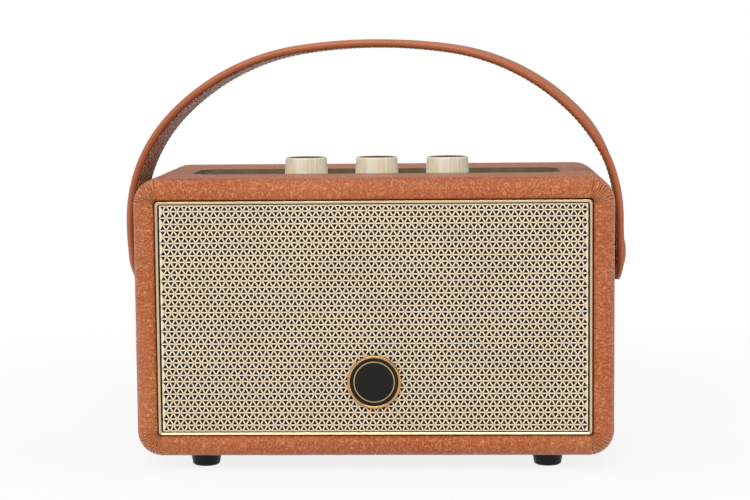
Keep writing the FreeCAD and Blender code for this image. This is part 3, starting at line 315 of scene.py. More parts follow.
@dataclass(frozen=True)
class PebbledLeather:
    """Leather with a soft rippled grain that follows the hide or fills space, with painted shade in
    the grain's hollows and painted highlights along its ripples.
    """

    name: str
    colour: Colour
    # bright: random lighter patches, and painted highlights on the ripples and on the crests of any
    # gathers
    bright: Colour
    # deep: painted shade in the grain's hollows and in the valleys of any gathers
    deep: Colour
    pebble: float = 1.5 * MM
    stretch: float = 1.0
    relief: float = 0.16 * MM
    roughness: float = 0.42
    coat: float = 0.12
    contrast: float = 0.5
    space: Space = Space.SOLID
    gathers: Gathers | None = None

    def material(self) -> bpy.types.Material:
        """Build the material."""
        paint = Material(self.name)
        flat = self.space is Space.SURFACE
        raw = paint.place(scale=(1.0, 1 / self.stretch, 1.0), space=self.space)
        where = paint.sway(raw, self.pebble * 1.6, 0.5 / self.pebble)
        heart = paint.cells(where, 1 / self.pebble, "F1", flat)
        domes = 1 - heart.rise(0.05, 0.8)
        wrinkles = paint.noise(where, 0.9 / self.pebble, 3.0, 0.6)
        ripples = 1 - ((wrinkles - 0.5) * 2.0).size().rise(0.02, 0.17)
        pores = paint.noise(raw, 6.0 / self.pebble, 2.0, 0.6)
        broad = paint.noise(raw, 14.0, 3.0, 0.55)
        height = domes * 0.34 + ripples * 0.54 + pores * 0.12
        tone = paint.mix(broad.rise(0.3, 0.72) * 0.25, self.colour, self.bright)
        # painted shade: darker in the hollows between the domes and ripples
        tone = paint.mix((1 - ripples) * (1 - domes) * self.contrast * 0.5, tone, self.deep)
        # painted highlight: lighter along the ripples, standing in for the lamps' glints on the
        # grain
        tone = paint.mix(ripples * self.contrast, tone, self.bright)
        rough = self.roughness + (pores - 0.5) * 0.12 - ripples * 0.06
        if self.gathers:
            folds, used = self.gathers.wave(paint)
            height = height * (1 - used * 0.5) + folds * used * 1.1
            # painted shade in the valleys of the corner gathers
            tone = paint.mix(used * (1 - folds.rise(0.0, 0.5)) * 0.35, tone, self.deep)
            # painted highlight on the crests of the corner gathers
            tone = paint.mix(used * folds.rise(0.5, 1.0) * 0.8, tone, self.bright)
        return paint.surface(
            Base_Color=tone,
            Roughness=rough,
            Normal=paint.bump(height, self.relief),
            Specular_IOR_Level=0.36,
            Coat_Weight=self.coat,
            Coat_Roughness=0.3,
        )


@dataclass(frozen=True)
class Satin:
    """Moulded, painted, plated or cast stuff with mottling and fine texture."""

    name: str
    colour: Colour
    other: Colour
    grain: float = 0.5 * MM
    relief: float = 0.01 * MM
    roughness: float = 0.5
    metallic: float = 0.0
    coat: float = 0.0
    gleam: float = 0.5

    def material(self) -> bpy.types.Material:
        """Build the material."""
        paint = Material(self.name)
        where = paint.place()
        fine = paint.noise(where, 1 / self.grain, 2.0, 0.6)
        broad = paint.noise(where, 0.04 / self.grain + 12.0, 3.0, 0.6)
        scuffs = paint.noise(paint.place(scale=(1.0, 0.12, 1.0)), 0.4 / self.grain, 2.0, 0.6)
        tone = paint.mix(
            broad.rise(0.3, 0.7) * 0.6 + fine.rise(0.35, 0.7) * 0.4, self.colour, self.other
        )
        rough = self.roughness + (fine - 0.5) * 0.18 + scuffs.rise(0.55, 0.75) * 0.1
        return paint.surface(
            Base_Color=tone,
            Roughness=rough,
            Metallic=self.metallic,
            Specular_IOR_Level=self.gleam,
            Normal=paint.bump(fine, self.relief),
            Coat_Weight=self.coat,
            Coat_Roughness=0.15,
        )


@dataclass(frozen=True)
class DrawnMetal:
    """Metal whose fine lines run one way along the surface."""

    name: str
    colour: Colour
    other: Colour
    lines: Sequence[float] = (1.0, 1.0, 40.0)
    space: Space = Space.SOLID
    pitch: float = 0.35 * MM
    relief: float = 0.012 * MM
    roughness: float = 0.3
    contrast: float = 0.6
    metallic: float = 1.0

    def material(self) -> bpy.types.Material:
        """Build the material."""
        paint = Material(self.name)
        shares = tuple(1 / line for line in self.lines)
        where = paint.place(scale=shares, space=self.space)
        fine = paint.noise(where, 1 / self.pitch, 2.0, 0.65)
        bands = paint.noise(where, 0.16 / self.pitch, 3.0, 0.6)
        cloud = paint.noise(paint.place(space=self.space), 60.0, 2.0, 0.5)
        streaks = fine.rise(0.3, 0.72) * self.contrast * 0.6
        tone = paint.mix(
            streaks + bands.rise(0.35, 0.68) * self.contrast * 0.6,
            self.colour,
            self.other,
        )
        rough = self.roughness + (fine - 0.5) * 0.22 + (cloud - 0.5) * 0.12
        return paint.surface(
            Base_Color=tone,
            Roughness=rough,
            Metallic=self.metallic,
            Normal=paint.bump(fine, self.relief),
        )


@dataclass(frozen=True)
class Timber:
    """Board with growth lines."""

    name: str
    colour: Colour
    dark: Colour
    figure: float = 2.2 * MM

    def material(self) -> bpy.types.Material:
        """Build the material."""
        paint = Material(self.name)
        where = paint.sway(paint.place(scale=(0.06, 1.0, 1.0)), 2.0 * MM, 60.0)
        rings = paint.noise(where, 1 / self.figure, 4.0, 0.6)
        fibres = paint.noise(paint.place(scale=(0.03, 1.0, 1.0)), 2600.0, 2.0, 0.6)
        tone = paint.mix(
            rings.rise(0.35, 0.7) * 0.7 + fibres.rise(0.4, 0.7) * 0.3, self.colour, self.dark
        )
        return paint.surface(
            Base_Color=tone,
            Roughness=0.62 + (fibres - 0.5) * 0.2,
            Normal=paint.bump(fibres, 0.03 * MM),
        )


@dataclass(frozen=True)
class WovenCloth:
    """Plain woven cloth of two threads."""

    name: str
    colour: Colour
    light: Colour
    thread: float = 0.45 * MM

    def material(self) -> bpy.types.Material:
        """Build the material."""
        paint = Material(self.name)
        across, _, up = paint.axes(paint.place(scale=(math.pi / self.thread,) * 3))
        warp = across.sine()
        weft = up.sine()
        over = (warp * weft).above(0.0)
        height = over * warp.size() + (1 - over) * weft.size()
        fuzz = paint.noise(paint.place(), 2400.0, 2.0, 0.6)
        # painted light: the crowns of the threads lighter and the dips between them darker
        return paint.surface(
            Base_Color=paint.mix(height * 0.6 + fuzz * 0.3, self.colour, self.light),
            Roughness=0.95 - fuzz * 0.1,
            Normal=paint.bump(height, 0.08 * MM),
            Sheen_Weight=0.2,
        )


@dataclass(frozen=True)
class PunchedSheetPaint:
    """Cream paint on the punched sheet, with painted light: the bars lighter as if catching the
    light, the flat stars where they meet darker, and painted shade on the walls of the holes.
    """

    name: str
    bar: Colour
    star: Colour
    shade: Colour
    pitch: float
    row: float
    centre: tuple[float, float]
    front: float

    def material(self) -> bpy.types.Material:
        """Build the material."""
        paint = Material(self.name)
        place = paint.place()
        across, depth, up = paint.axes(place)
        rung = ((up - self.centre[1]) / self.row).nearest()
        rise = up - self.centre[1] - rung * self.row
        lean = (across - self.centre[0]) / self.pitch - rung * 0.5
        run = (lean - lean.nearest()) * self.pitch
        reach = (rise ** 2.0 + run ** 2.0) ** 0.5
        star = 1 - reach.rise(0.55 * MM, 1.05 * MM)
        speckle = paint.noise(place, 5200.0, 2.0, 0.6)
        broad = paint.noise(place, 40.0, 2.0, 0.5)
        # painted highlight: the bars lighter than the flat stars where they meet
        tone = paint.mix(star * 0.8, self.bar, self.star)
        tone = paint.mix(broad.rise(0.35, 0.7) * 0.06, tone, self.shade)
        # painted shade on the walls of the holes, behind the sheet's front
        tone = paint.mix((depth - self.front).rise(0.11 * MM, 0.22 * MM), tone, self.shade)
        return paint.surface(
            Base_Color=tone,
            Roughness=0.5 + (speckle - 0.5) * 0.25,
            Metallic=0.1,
            Normal=paint.bump(speckle, 0.012 * MM),
        )


@dataclass(frozen=True)
class ScribedTray:
    """Brushed recess with a plain scale of short dark ticks round each knob."""

    name: str
    colour: Colour
    other: Colour
    ink: Colour
    centres: Sequence[Point]
    ring: tuple[float, float]
    ticks: int
    sweep: float

    def material(self) -> bpy.types.Material:
        """Build the material."""
        paint = Material(self.name)
        fine = paint.noise(paint.place(scale=(0.02, 1.0, 1.0)), 3600.0, 2.0, 0.65)
        cloud = paint.noise(paint.place(), 34.0, 3.0, 0.6)
        tone = paint.mix(
            fine.rise(0.3, 0.7) * 0.5 + cloud.rise(0.3, 0.7) * 0.35, self.colour, self.other
        )
        across, depth, _ = paint.axes(paint.place())
        gap = math.radians(self.sweep) / (self.ticks - 1)
        ink = None
        for x, y in self.centres:
            right = across - x
            back = depth - y
            reach = (right ** 2.0 + back ** 2.0) ** 0.5
            turn = reach.math("ARCTAN2", right, back)
            step = (turn / gap).nearest()
            off_line = (turn - step * gap).size() * reach
            line = 1 - off_line.rise(0.14 * MM, 0.22 * MM)
            ring = reach.above(self.ring[0]) * (1 - reach.above(self.ring[1]))
            used = 1 - turn.size().above(math.radians(self.sweep / 2) + gap / 4)
            mark = line * ring * used
            ink = mark if ink is None else ink + mark
        return paint.surface(
            Base_Color=paint.mix(ink, tone, self.ink),
            Roughness=0.34 + (fine - 0.5) * 0.2 + ink * 0.2,
            Metallic=1 - ink,
            Normal=paint.bump(fine, 0.01 * MM),
        )


# ---------------------------------------------------------------- meshes


def bend(centre: Point, radii: Point, start: float, stop: float, steps: int) -> list[Point]:
    """Points of an elliptical arc in a profile's plane.

    Args:
        centre: The arc's centre.
        radii: Its half-axes.
        start: The angle in degrees that it starts at.
        stop: The angle in degrees that it ends at.
        steps: How many straight pieces it has.

    Returns:
        The points, both ends included.
    """
    turns = [math.radians(start + (stop - start) * index / steps) for index in range(steps + 1)]
    return [(centre[0] + radii[0] * math.cos(t), centre[1] + radii[1] * math.sin(t)) for t in turns]


@dataclass(frozen=True)
class Rail:
    """The rectangle of corner centres that a rounded frame runs round, upright or level."""

    half_width: float
    half_height: float
    middle: Vector
    nominal: float = 10 * MM
    level: bool = False

    def split(self, point: Vector) -> Vector:
        """A point's two coordinates in the rail's plane, from its middle."""
        away = point - self.middle
        return Vector((away.x, away.y if self.level else away.z))

    def foot(self, flat: Vector) -> Vector:
        """The nearest place on or in the rectangle."""
        x = max(-self.half_width, min(self.half_width, flat.x))
        z = max(-self.half_height, min(self.half_height, flat.y))
        return Vector((x, z))

    def spot(self, flat: Vector, along: float) -> Vector:
        """The point in space for a place in the rail's plane and a place along its axis."""
        if self.level:
            return Vector((self.middle.x + flat.x, self.middle.y + flat.y, along))
        return Vector((self.middle.x + flat.x, along, self.middle.z + flat.y))

    def travel(self, point: Vector, side: float) -> float:
        """Distance run round the rail from the middle of its lower side.

        Args:
            point: The point.
            side: Positive on the right half, negative on the left half.

        Returns:
            The distance, in which every corner counts as if it had the nominal radius.
        """
        flat = self.split(point)
        foot = self.foot(flat)
        out = flat - foot
        lean = math.atan2(abs(out.x), abs(out.y))
        width, height = self.half_width, self.half_height
        across = math.copysign(1.0, side) * foot.x
        if out.y > 1e-7:
            run = 2 * (width + height) - across + self.nominal * (math.pi - lean)
        else:
            run = across + self.nominal * lean + foot.y + height
        return run if side > 0 else 4 * (width + height) + 2 * math.pi * self.nominal - run


class Shape:
    """A bmesh and the moves that the radio's pieces are made with."""

    def __init__(self) -> None:
        """Start empty, with layers for the length along a profile and the place on a rail."""
        self.bm = bmesh.new()
        self.length = self.bm.verts.layers.float.new("length")
        self.foot = self.bm.verts.layers.float_vector.new("foot")
        self.outward = self.bm.verts.layers.float_vector.new("outward")
        self.uv = self.bm.loops.layers.uv.new("surface")

    def hoop(
        self, rail: Rail, distance: float, steps: int, gap: float, extra: Sequence[float] = ()
    ) -> list[bmesh.types.BMEdge]:
        """A closed rounded rectangle round a rail.

        Args:
            rail: The rail.
            distance: The hoop's distance from it.
            steps: Pieces in each corner.
            gap: The longest piece wanted on a straight side.
            extra: Places of extra points on the lower side.

        Returns:
            The hoop's edges.
        """
        wide, high = rail.half_width + distance, rail.half_height + distance
        lower = [(-wide, -high), *[(x, -high) for x in sorted(extra)], (wide, -high)]
        outline = [*lower, (wide, high), (-wide, high)]
        verts = [self.bm.verts.new(rail.spot(Vector(place), 0)) for place in outline]
        self.bm.faces.new(verts)
        corners = [verts[0], *verts[-3:]]
        rounded = bmesh.ops.bevel(
            self.bm,
            geom=corners,
            offset=distance,
            offset_type="OFFSET",
            segments=steps,
            profile=0.5,
            affect="VERTICES",
            material=-1,
        )
        faces = list({face for vert in rounded["verts"] for face in vert.link_faces})
        bmesh.ops.delete(self.bm, geom=faces, context="FACES_ONLY")
        for edge in self.loose():
            cuts = int(edge.calc_length() / gap)
            if cuts:
                bmesh.ops.subdivide_edges(self.bm, edges=[edge], cuts=cuts)
        edges = self.loose()
        for vert in {v for e in edges for v in e.verts}:
            flat = rail.split(vert.co)
            foot = rail.foot(flat)
            vert[self.foot] = (*foot, 0)
            vert[self.outward] = (*(flat - foot).normalized(), 0)
        return edges

    def loose(self) -> list[bmesh.types.BMEdge]:
        """Edges that carry no face."""
        return [edge for edge in self.bm.edges if not edge.link_faces]

    def shift(
        self, rail: Rail, vert: bmesh.types.BMVert, distance: float, along: float, radius: float
    ) -> None:
        """Put a hoop's vertex at a distance from its rail, with a corner radius of its own."""
        spare = distance - radius
        foot, out = vert[self.foot], vert[self.outward]
        x = foot.x * (1 + spare / rail.half_width) + out.x * radius
        z = foot.y * (1 + spare / rail.half_height) + out.y * radius
        vert.co = rail.spot(Vector((x, z)), along)

    def run(
        self, rail: Rail, hoop: Iterable[bmesh.types.BMEdge], profile: Sequence[Sequence[float]]
    ) -> list[bmesh.types.BMEdge]:
        """Extrude a hoop through a profile.

        Args:
            rail: The rail that the hoop goes round.
            hoop: The hoop's edges, which are put at the profile's first point.
            profile: Distance from the rail and place along its axis at each point, and the
                corner radius where it isn't the distance.

        Returns:
            The last hoop's edges.
        """
        edges = list(hoop)
        travelled = 0.0
        before = profile[0]
        for index, here in enumerate(profile):
            if index:
                travelled += math.dist(before[:2], here[:2])
                grown = bmesh.ops.extrude_edge_only(self.bm, edges=edges)["geom"]
                edges = [
                    g for g in grown if isinstance(g, bmesh.types.BMEdge) and len(g.link_faces) == 1
                ]
            for vert in {v for e in edges for v in e.verts}:
                self.shift(rail, vert, here[0], here[1], here[-1] if len(here) == 3 else here[0])
                vert[self.length] = travelled
            before = here
        return edges

    def ring(
        self,
        rail: Rail,
        distance: float,
        steps: int,
        gap: float,
        profile: Sequence[Sequence[float]],
    ) -> "Shape":
        """Run a closed profile round a rail from a hoop at a distance, and join its ends."""
        self.run(rail, self.hoop(rail, distance, steps, gap), profile)
        bmesh.ops.remove_doubles(self.bm, verts=self.bm.verts[:], dist=NEAR)
        return self

    def unwrap(self, rail: Rail) -> None:
        """Map the faces round a rail by the run round it and the length along the profile."""
        for face in self.bm.faces:
            side = face.calc_center_median().x - rail.middle.x
            for loop in face.loops:
                loop[self.uv].uv = (rail.travel(loop.vert.co, side), loop.vert[self.length])

    def sweep(
        self, stations: Sequence["Station"], section: Callable[["Station"], Sequence[Point]]
    ) -> None:
        """Run a closed section along a line of stations and close both ends.

        Args:
            stations: The places along the line.
            section: Gives the section's points at a station, across and inwards.
        """
        count = len(section(stations[0]))
        ring = bmesh.ops.create_circle(self.bm, cap_ends=True, radius=1.0, segments=count)["verts"]
        edges = list({e for v in ring for e in v.link_edges})
        order = list(ring)
        loops = []
        for index, station in enumerate(stations):
            if index:
                grown = bmesh.ops.extrude_edge_only(self.bm, edges=edges)["geom"]
                edges = [
                    g for g in grown if isinstance(g, bmesh.types.BMEdge) and len(g.link_faces) == 1
                ]
                fresh = {v for e in edges for v in e.verts}
                order = [
                    next(e.other_vert(v) for e in v.link_edges if e.other_vert(v) in fresh)
                    for v in order
                ]
            for vert, (across, inward) in zip(order, section(station)):
                vert.co = station.place(across, inward)
                vert[self.length] = station.run
                vert[self.foot] = (inward, across, 0)
            loops.append(order)
        bmesh.ops.holes_fill(
            self.bm, edges=[e for e in self.bm.edges if len(e.link_faces) == 1], sides=0
        )
        for face in self.bm.faces:
            for loop in face.loops:
                loop[self.uv].uv = (loop.vert[self.foot].x, loop.vert[self.length])

    def lathe(
        self, profile: Sequence[Point], steps: int, centre: Vector, axis: Vector
    ) -> "Shape":
        """Spin a profile of radii and heights about an axis.

        Args:
            profile: The points, from one end of the turned piece to the other.
            steps: Pieces round the axis.
            centre: Where the heights start.
            axis: The direction of the heights.

        Returns:
            The shape itself.
        """
        travelled = 0.0
        verts = []
        for index, (radius, height) in enumerate(profile):
            if index:
                travelled += math.dist(profile[index - 1], (radius, height))
            vert = self.bm.verts.new((radius, 0, height))
            vert[self.length] = travelled
            verts.append(vert)
        edges = [self.bm.edges.new(pair) for pair in zip(verts, verts[1:])]
        if profile[0] == profile[-1]:
            bmesh.ops.remove_doubles(self.bm, verts=verts, dist=1e-7)
            edges = [e for e in edges if e.is_valid]
            verts = [v for v in verts if v.is_valid]
        bmesh.ops.spin(
            self.bm, geom=verts + edges, cent=(0, 0, 0), axis=(0, 0, 1), dvec=(0, 0, 0),
            angle=2 * math.pi, steps=steps, use_merge=True, use_duplicate=False,
        )
        bmesh.ops.remove_doubles(self.bm, verts=self.bm.verts[:], dist=1e-7)
        nominal = max(radius for radius, _ in profile)
        for face in self.bm.faces:
            turns = [math.atan2(loop.vert.co.y, loop.vert.co.x) for loop in face.loops]
            middle = face.calc_center_median()
            heading = math.atan2(middle.y, middle.x)
            for loop, turn in zip(face.loops, turns):
                near = heading + (turn - heading + math.pi) % (2 * math.pi) - math.pi
                loop[self.uv].uv = (near * nominal, loop.vert[self.length])
        tilt = Vector((0, 0, 1)).rotation_difference(axis).to_matrix().to_4x4()
        bmesh.ops.transform(
            self.bm, matrix=Matrix.Translation(centre) @ tilt, verts=self.bm.verts[:]
        )
        return self

    def _number(self) -> None:
        """Number the parts by their places, so that every run makes the same mesh."""
        rank = {v: i for i, v in enumerate(sorted(self.bm.verts, key=lambda v: tuple(v.co)))}
        self.bm.verts.sort(key=rank.get)
        for parts in (self.bm.edges, self.bm.faces):
            keys = {part: sorted(rank[vert] for vert in part.verts) for part in parts}
            place = {part: i for i, part in enumerate(sorted(parts, key=keys.get))}
            parts.sort(key=place.get)

    def finish(
        self,
        name: str,
        materials: Sequence[bpy.types.Material],
        sharp: float = 40.0,
        outward: bool = True,
        pick: Callable[[bmesh.types.BMFace], int] | None = None,
    ) -> bpy.types.Object:
        """Turn the shape into an object at the origin.

        Args:
            name: The piece's name.
            materials: Its materials.
            sharp: The angle in degrees from which an edge is shaded sharp.
            outward: Whether the faces are turned to point outwards.
            pick: Chooses a face's material by number.

        Returns:
            The object.
        """
        if outward:
            bmesh.ops.recalc_face_normals(self.bm, faces=self.bm.faces[:])
        self._number()
        limit = math.radians(sharp)
        for edge in self.bm.edges:
            edge.smooth = edge.calc_face_angle(0.0) < limit
        for face in self.bm.faces:
            face.smooth = True
            if pick:
                face.material_index = pick(face)
        mesh = bpy.data.meshes.new(name)
        self.bm.to_mesh(mesh)
        self.bm.free()
        for material in materials:
            mesh.materials.append(material)
        piece = bpy.data.objects.new(name, mesh)
        bpy.context.scene.collection.objects.link(piece)
        return piece


def settle(piece: bpy.types.Object, body: str, slot: str, *nodes: str) -> bpy.types.Object:
    """Ride a finished piece on a body in place of CAD nodes.

    Args:
        piece: The piece.
        body: The CAD body that it moves with.
        slot: The record's material slot; not used.
        nodes: The CAD nodes that it stands for.

    Returns:
        The piece.
    """
    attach(piece, body)
    if nodes:
        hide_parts(*nodes)
    LOG.info("%s: %d faces on %s", piece.name, len(piece.data.polygons), body)
    return piece


def bake_modifiers(piece: bpy.types.Object) -> None:
    """Replace a piece's mesh by the one that its modifiers make."""
    graph = bpy.context.evaluated_depsgraph_get()
    made = bpy.data.meshes.new_from_object(piece.evaluated_get(graph), depsgraph=graph)
    piece.modifiers.clear()
    piece.data = made


@dataclass(frozen=True)
class Station:
    """A place on the strap's line: where it is, which way is out, and how far it has run."""

    point: Vector
    outward: Vector
    run: float
    lean: float = 0.0
    skive: float = 0.0

    def place(self, across: float, inward: float) -> Vector:
        """A point of the section at this station."""
        return self.point - self.outward * inward + Vector((self.lean * across, across, 0))


# ---------------------------------------------------------------- finishes of this radio

# The lighter leather colour gives random patches and painted highlights; the darker one gives
# painted shade in the grain's hollows and the gathers' valleys.
TAN = paint_chart(178, 79, 18)
TAN_MOTTLE_AND_HIGHLIGHT = paint_chart(232, 152, 100)
TAN_PAINTED_SHADE = paint_chart(146, 56, 12)


@dataclass(frozen=True)
class StrapLeather:
    """Smooth dressed leather whose edges are polished and browned where they are sewn, with painted
    shade darkening the inner half of each rounded edge.
    """

    name: str
    thickness: float
    tan: Colour = paint_chart(170, 93, 52)
    # turned: painted shade on the inner half of each rounded edge
    light: Colour = paint_chart(186, 109, 68)
    turned: Colour = paint_chart(148, 74, 32)
    burnished: Colour = paint_chart(104, 48, 26)
    fold: Colour = paint_chart(142, 66, 32)
    pore: Colour = paint_chart(130, 58, 28)

    def material(self) -> bpy.types.Material:
        """Build the material."""
        paint = Material(self.name)
        where = paint.place()
        fine = paint.noise(where, 1500.0, 3.0, 0.6)
        folds = paint.noise(paint.place(scale=(1.0, 0.3, 1.0)), 420.0, 3.0, 0.6)
        broad = paint.noise(where, 26.0, 3.0, 0.55)
        pores = paint.cells(paint.sway(where, 0.6 * MM, 900.0), 1400.0, "DISTANCE_TO_EDGE")
        inward, _, _ = paint.axes(paint.place(space=Space.SURFACE))
        layer = inward / self.thickness
        tone = paint.mix(broad.rise(0.32, 0.7) * 0.5, self.tan, self.light)
        # painted shade: the inner half of each edge darker, as if the rounded edge turned away from
        # the light
        tone = paint.mix(layer.rise(0.35, 0.62) * 0.75, tone, self.turned)
        tone = paint.mix(layer.rise(0.82, 1.0) * 0.6, tone, self.burnished)
        tone = paint.mix(folds.rise(0.5, 0.75) * 0.16, tone, self.fold)
        tone = paint.mix((1 - pores.rise(0.0, 0.1)) * 0.12, tone, self.pore)
        height = fine * 0.3 + folds * 0.4 + pores.rise(0.0, 0.2) * 0.3
        return paint.surface(
            Base_Color=tone,
            Roughness=0.46 + (fine - 0.5) * 0.2,
            Normal=paint.bump(height, 0.04 * MM),
            Coat_Weight=0.08,
            Coat_Roughness=0.35,
        )


@dataclass(frozen=True)
class RingedBadge:
    """Gloss black plate with turned rings and a slim gold line."""

    name: str
    centre: tuple[float, float]
    line: tuple[float, float]
    ring_pitch: float = 0.5 * MM

    def material(self) -> bpy.types.Material:
        """Build the material."""
        paint = Material(self.name)
        across, _, up = paint.axes(paint.place())
        right = across - self.centre[0]
        high = up - self.centre[1]
        reach = (right ** 2.0 + high ** 2.0) ** 0.5
        rings = (reach * (2 * math.pi / self.ring_pitch)).sine()
        speck = paint.noise(paint.place(), 900.0, 3.0, 0.6)
        inside = reach.rise(self.line[0] - 0.1 * MM, self.line[0])
        gold = inside * (1 - reach.rise(*self.line_end()))
        tone = paint.mix(speck.rise(0.3, 0.8), paint_chart(9, 8, 8), paint_chart(26, 23, 21))
        tone = paint.mix(gold, tone, paint_chart(206, 168, 112))
        return paint.surface(
            Base_Color=tone,
            Roughness=0.3 + (speck - 0.5) * 0.12,
            Metallic=gold * 0.9,
            Specular_IOR_Level=0.25,
            Normal=paint.bump(rings * 0.5 + 0.5, 0.012 * MM),
        )

    def line_end(self) -> tuple[float, float]:
        """Where the gold line ends, with its soft edge."""
        return self.line[1], self.line[1] + 0.1 * MM


class Finish(Enum):
    """The finishes of the carried-over pieces."""

    FOOT_RUBBER = Satin(
        "foot rubber", paint_chart(8, 7, 9), paint_chart(
            17, 15, 18
        ), 0.35 * MM, 0.02 * MM, 0.4, gleam=0.22
    )
    BLACK_PLASTIC = Satin(
        "black plastic", paint_chart(26, 25, 26), paint_chart(36, 35, 36), 0.3 * MM, 0.02 * MM, 0.46
    )
    BLACK_SCREW = Satin(
        "blackened steel", paint_chart(
            34, 33, 34
        ), paint_chart(52, 50, 50), 0.25 * MM, 0.01 * MM, 0.38, 0.9
    )
    BUTTON = Satin(
        "button plastic", paint_chart(
            40, 37, 36
        ), paint_chart(54, 50, 48), 0.2 * MM, 0.01 * MM, 0.34, 0.0, 0.3
    )
    LENS = Satin(
        "smoked lens", paint_chart(
            150, 44, 34
        ), paint_chart(176, 62, 46), 0.5 * MM, 0.002 * MM, 0.12, 0.0, 0.6
    )
    STEEL = DrawnMetal("bright steel", paint_chart(176, 174, 170), paint_chart(140, 138, 136))
    BRASS = DrawnMetal(
        "brass", paint_chart(206, 166, 96), paint_chart(170, 128, 66), roughness=0.28
    )
    LACQUER = Satin(
        "tan lacquered brass", paint_chart(
            150, 76, 36
        ), paint_chart(172, 94, 50), 0.4 * MM, 0.01 * MM, 0.42
    )
    WOOD = Timber("birch board", paint_chart(206, 176, 132), paint_chart(164, 126, 84))
    MDF = Satin(
        "fibre board", paint_chart(44, 38, 34), paint_chart(64, 56, 48), 0.6 * MM, 0.03 * MM, 0.8
    )
    CLOTH = WovenCloth("grille cloth", paint_chart(13, 11, 10), paint_chart(34, 29, 26))
    BOARD = Satin(
        "circuit board", paint_chart(22, 74, 46), paint_chart(30, 92, 58), 0.8 * MM, 0.02 * MM, 0.4
    )
    PAPER = Satin(
        "paper cone", paint_chart(52, 48, 46), paint_chart(74, 69, 64), 0.5 * MM, 0.08 * MM, 0.85
    )
    SILK = WovenCloth("silk dome", paint_chart(28, 26, 26), paint_chart(56, 52, 50), 0.25 * MM)
    SURROUND = Satin(
        "surround rubber", paint_chart(26, 25, 25), paint_chart(38, 37, 37), 0.4 * MM, 0.02 * MM,
        0.6
    )
    FERRITE = Satin(
        "ferrite", paint_chart(56, 55, 56), paint_chart(76, 75, 76), 0.3 * MM, 0.03 * MM, 0.7
    )
    BASKET = Satin(
        "pressed steel", paint_chart(48, 48, 50), paint_chart(66, 66, 68), 0.4 * MM, 0.02 * MM,
        0.45, 0.6
    )
    SLEEVE = Satin(
        "cell sleeve", paint_chart(58, 92, 128), paint_chart(74, 108, 142), 0.7 * MM, 0.01 * MM,
        0.35
    )


CARRIED = {
    Finish.FOOT_RUBBER: (
        "foot_front_left", "foot_front_right", "foot_back_left", "foot_back_right"
    ),
    Finish.BLACK_PLASTIC: (
        "rear_panel", "bass_port", "dc_socket", "aux_jack", "left_tweeter", "right_tweeter",
        "button_switches",
    ),
    Finish.BLACK_SCREW: ("rear_screws", "driver_screws"),
    Finish.BUTTON: ("source_button", "power_button"),
    Finish.LENS: ("status_lens",),
    Finish.STEEL: (
        "foot_screws", "bracket_screws", "volume_shaft", "bass_shaft", "treble_shaft", "volume_pot",
        "bass_pot", "treble_pot", "pot_nuts", "battery_bracket",
    ),
    Finish.BRASS: (
        "strap_spacers", "side_inserts", "board_standoffs", "woofer_voice_coil",
    ),
    Finish.LACQUER: ("strap_screws",),
    Finish.WOOD: ("top_board", "bottom_board", "left_board", "right_board"),
    Finish.MDF: ("front_baffle",),
    Finish.CLOTH: ("grille_cloth",),
    Finish.BOARD: ("control_board", "amplifier_board"),
    Finish.PAPER: ("woofer_cone", "woofer_dust_cap", "woofer_spider"),
    Finish.SILK: ("left_tweeter_dome", "right_tweeter_dome"),
    Finish.SURROUND: ("woofer_surround",),
    Finish.FERRITE: ("woofer_magnet",),
    Finish.BASKET: ("woofer_basket", "woofer_yoke"),
    Finish.SLEEVE: ("battery_pack",),
}


def dress(node: bpy.types.Object, material: bpy.types.Material) -> None:
    """Give every material slot of a carried-over CAD piece one material."""
    if not node.material_slots:
        node.data.materials.append(material)
    for slot in node.material_slots:
        slot.link = "OBJECT"
        slot.material = material


# ---------------------------------------------------------------- cabinet


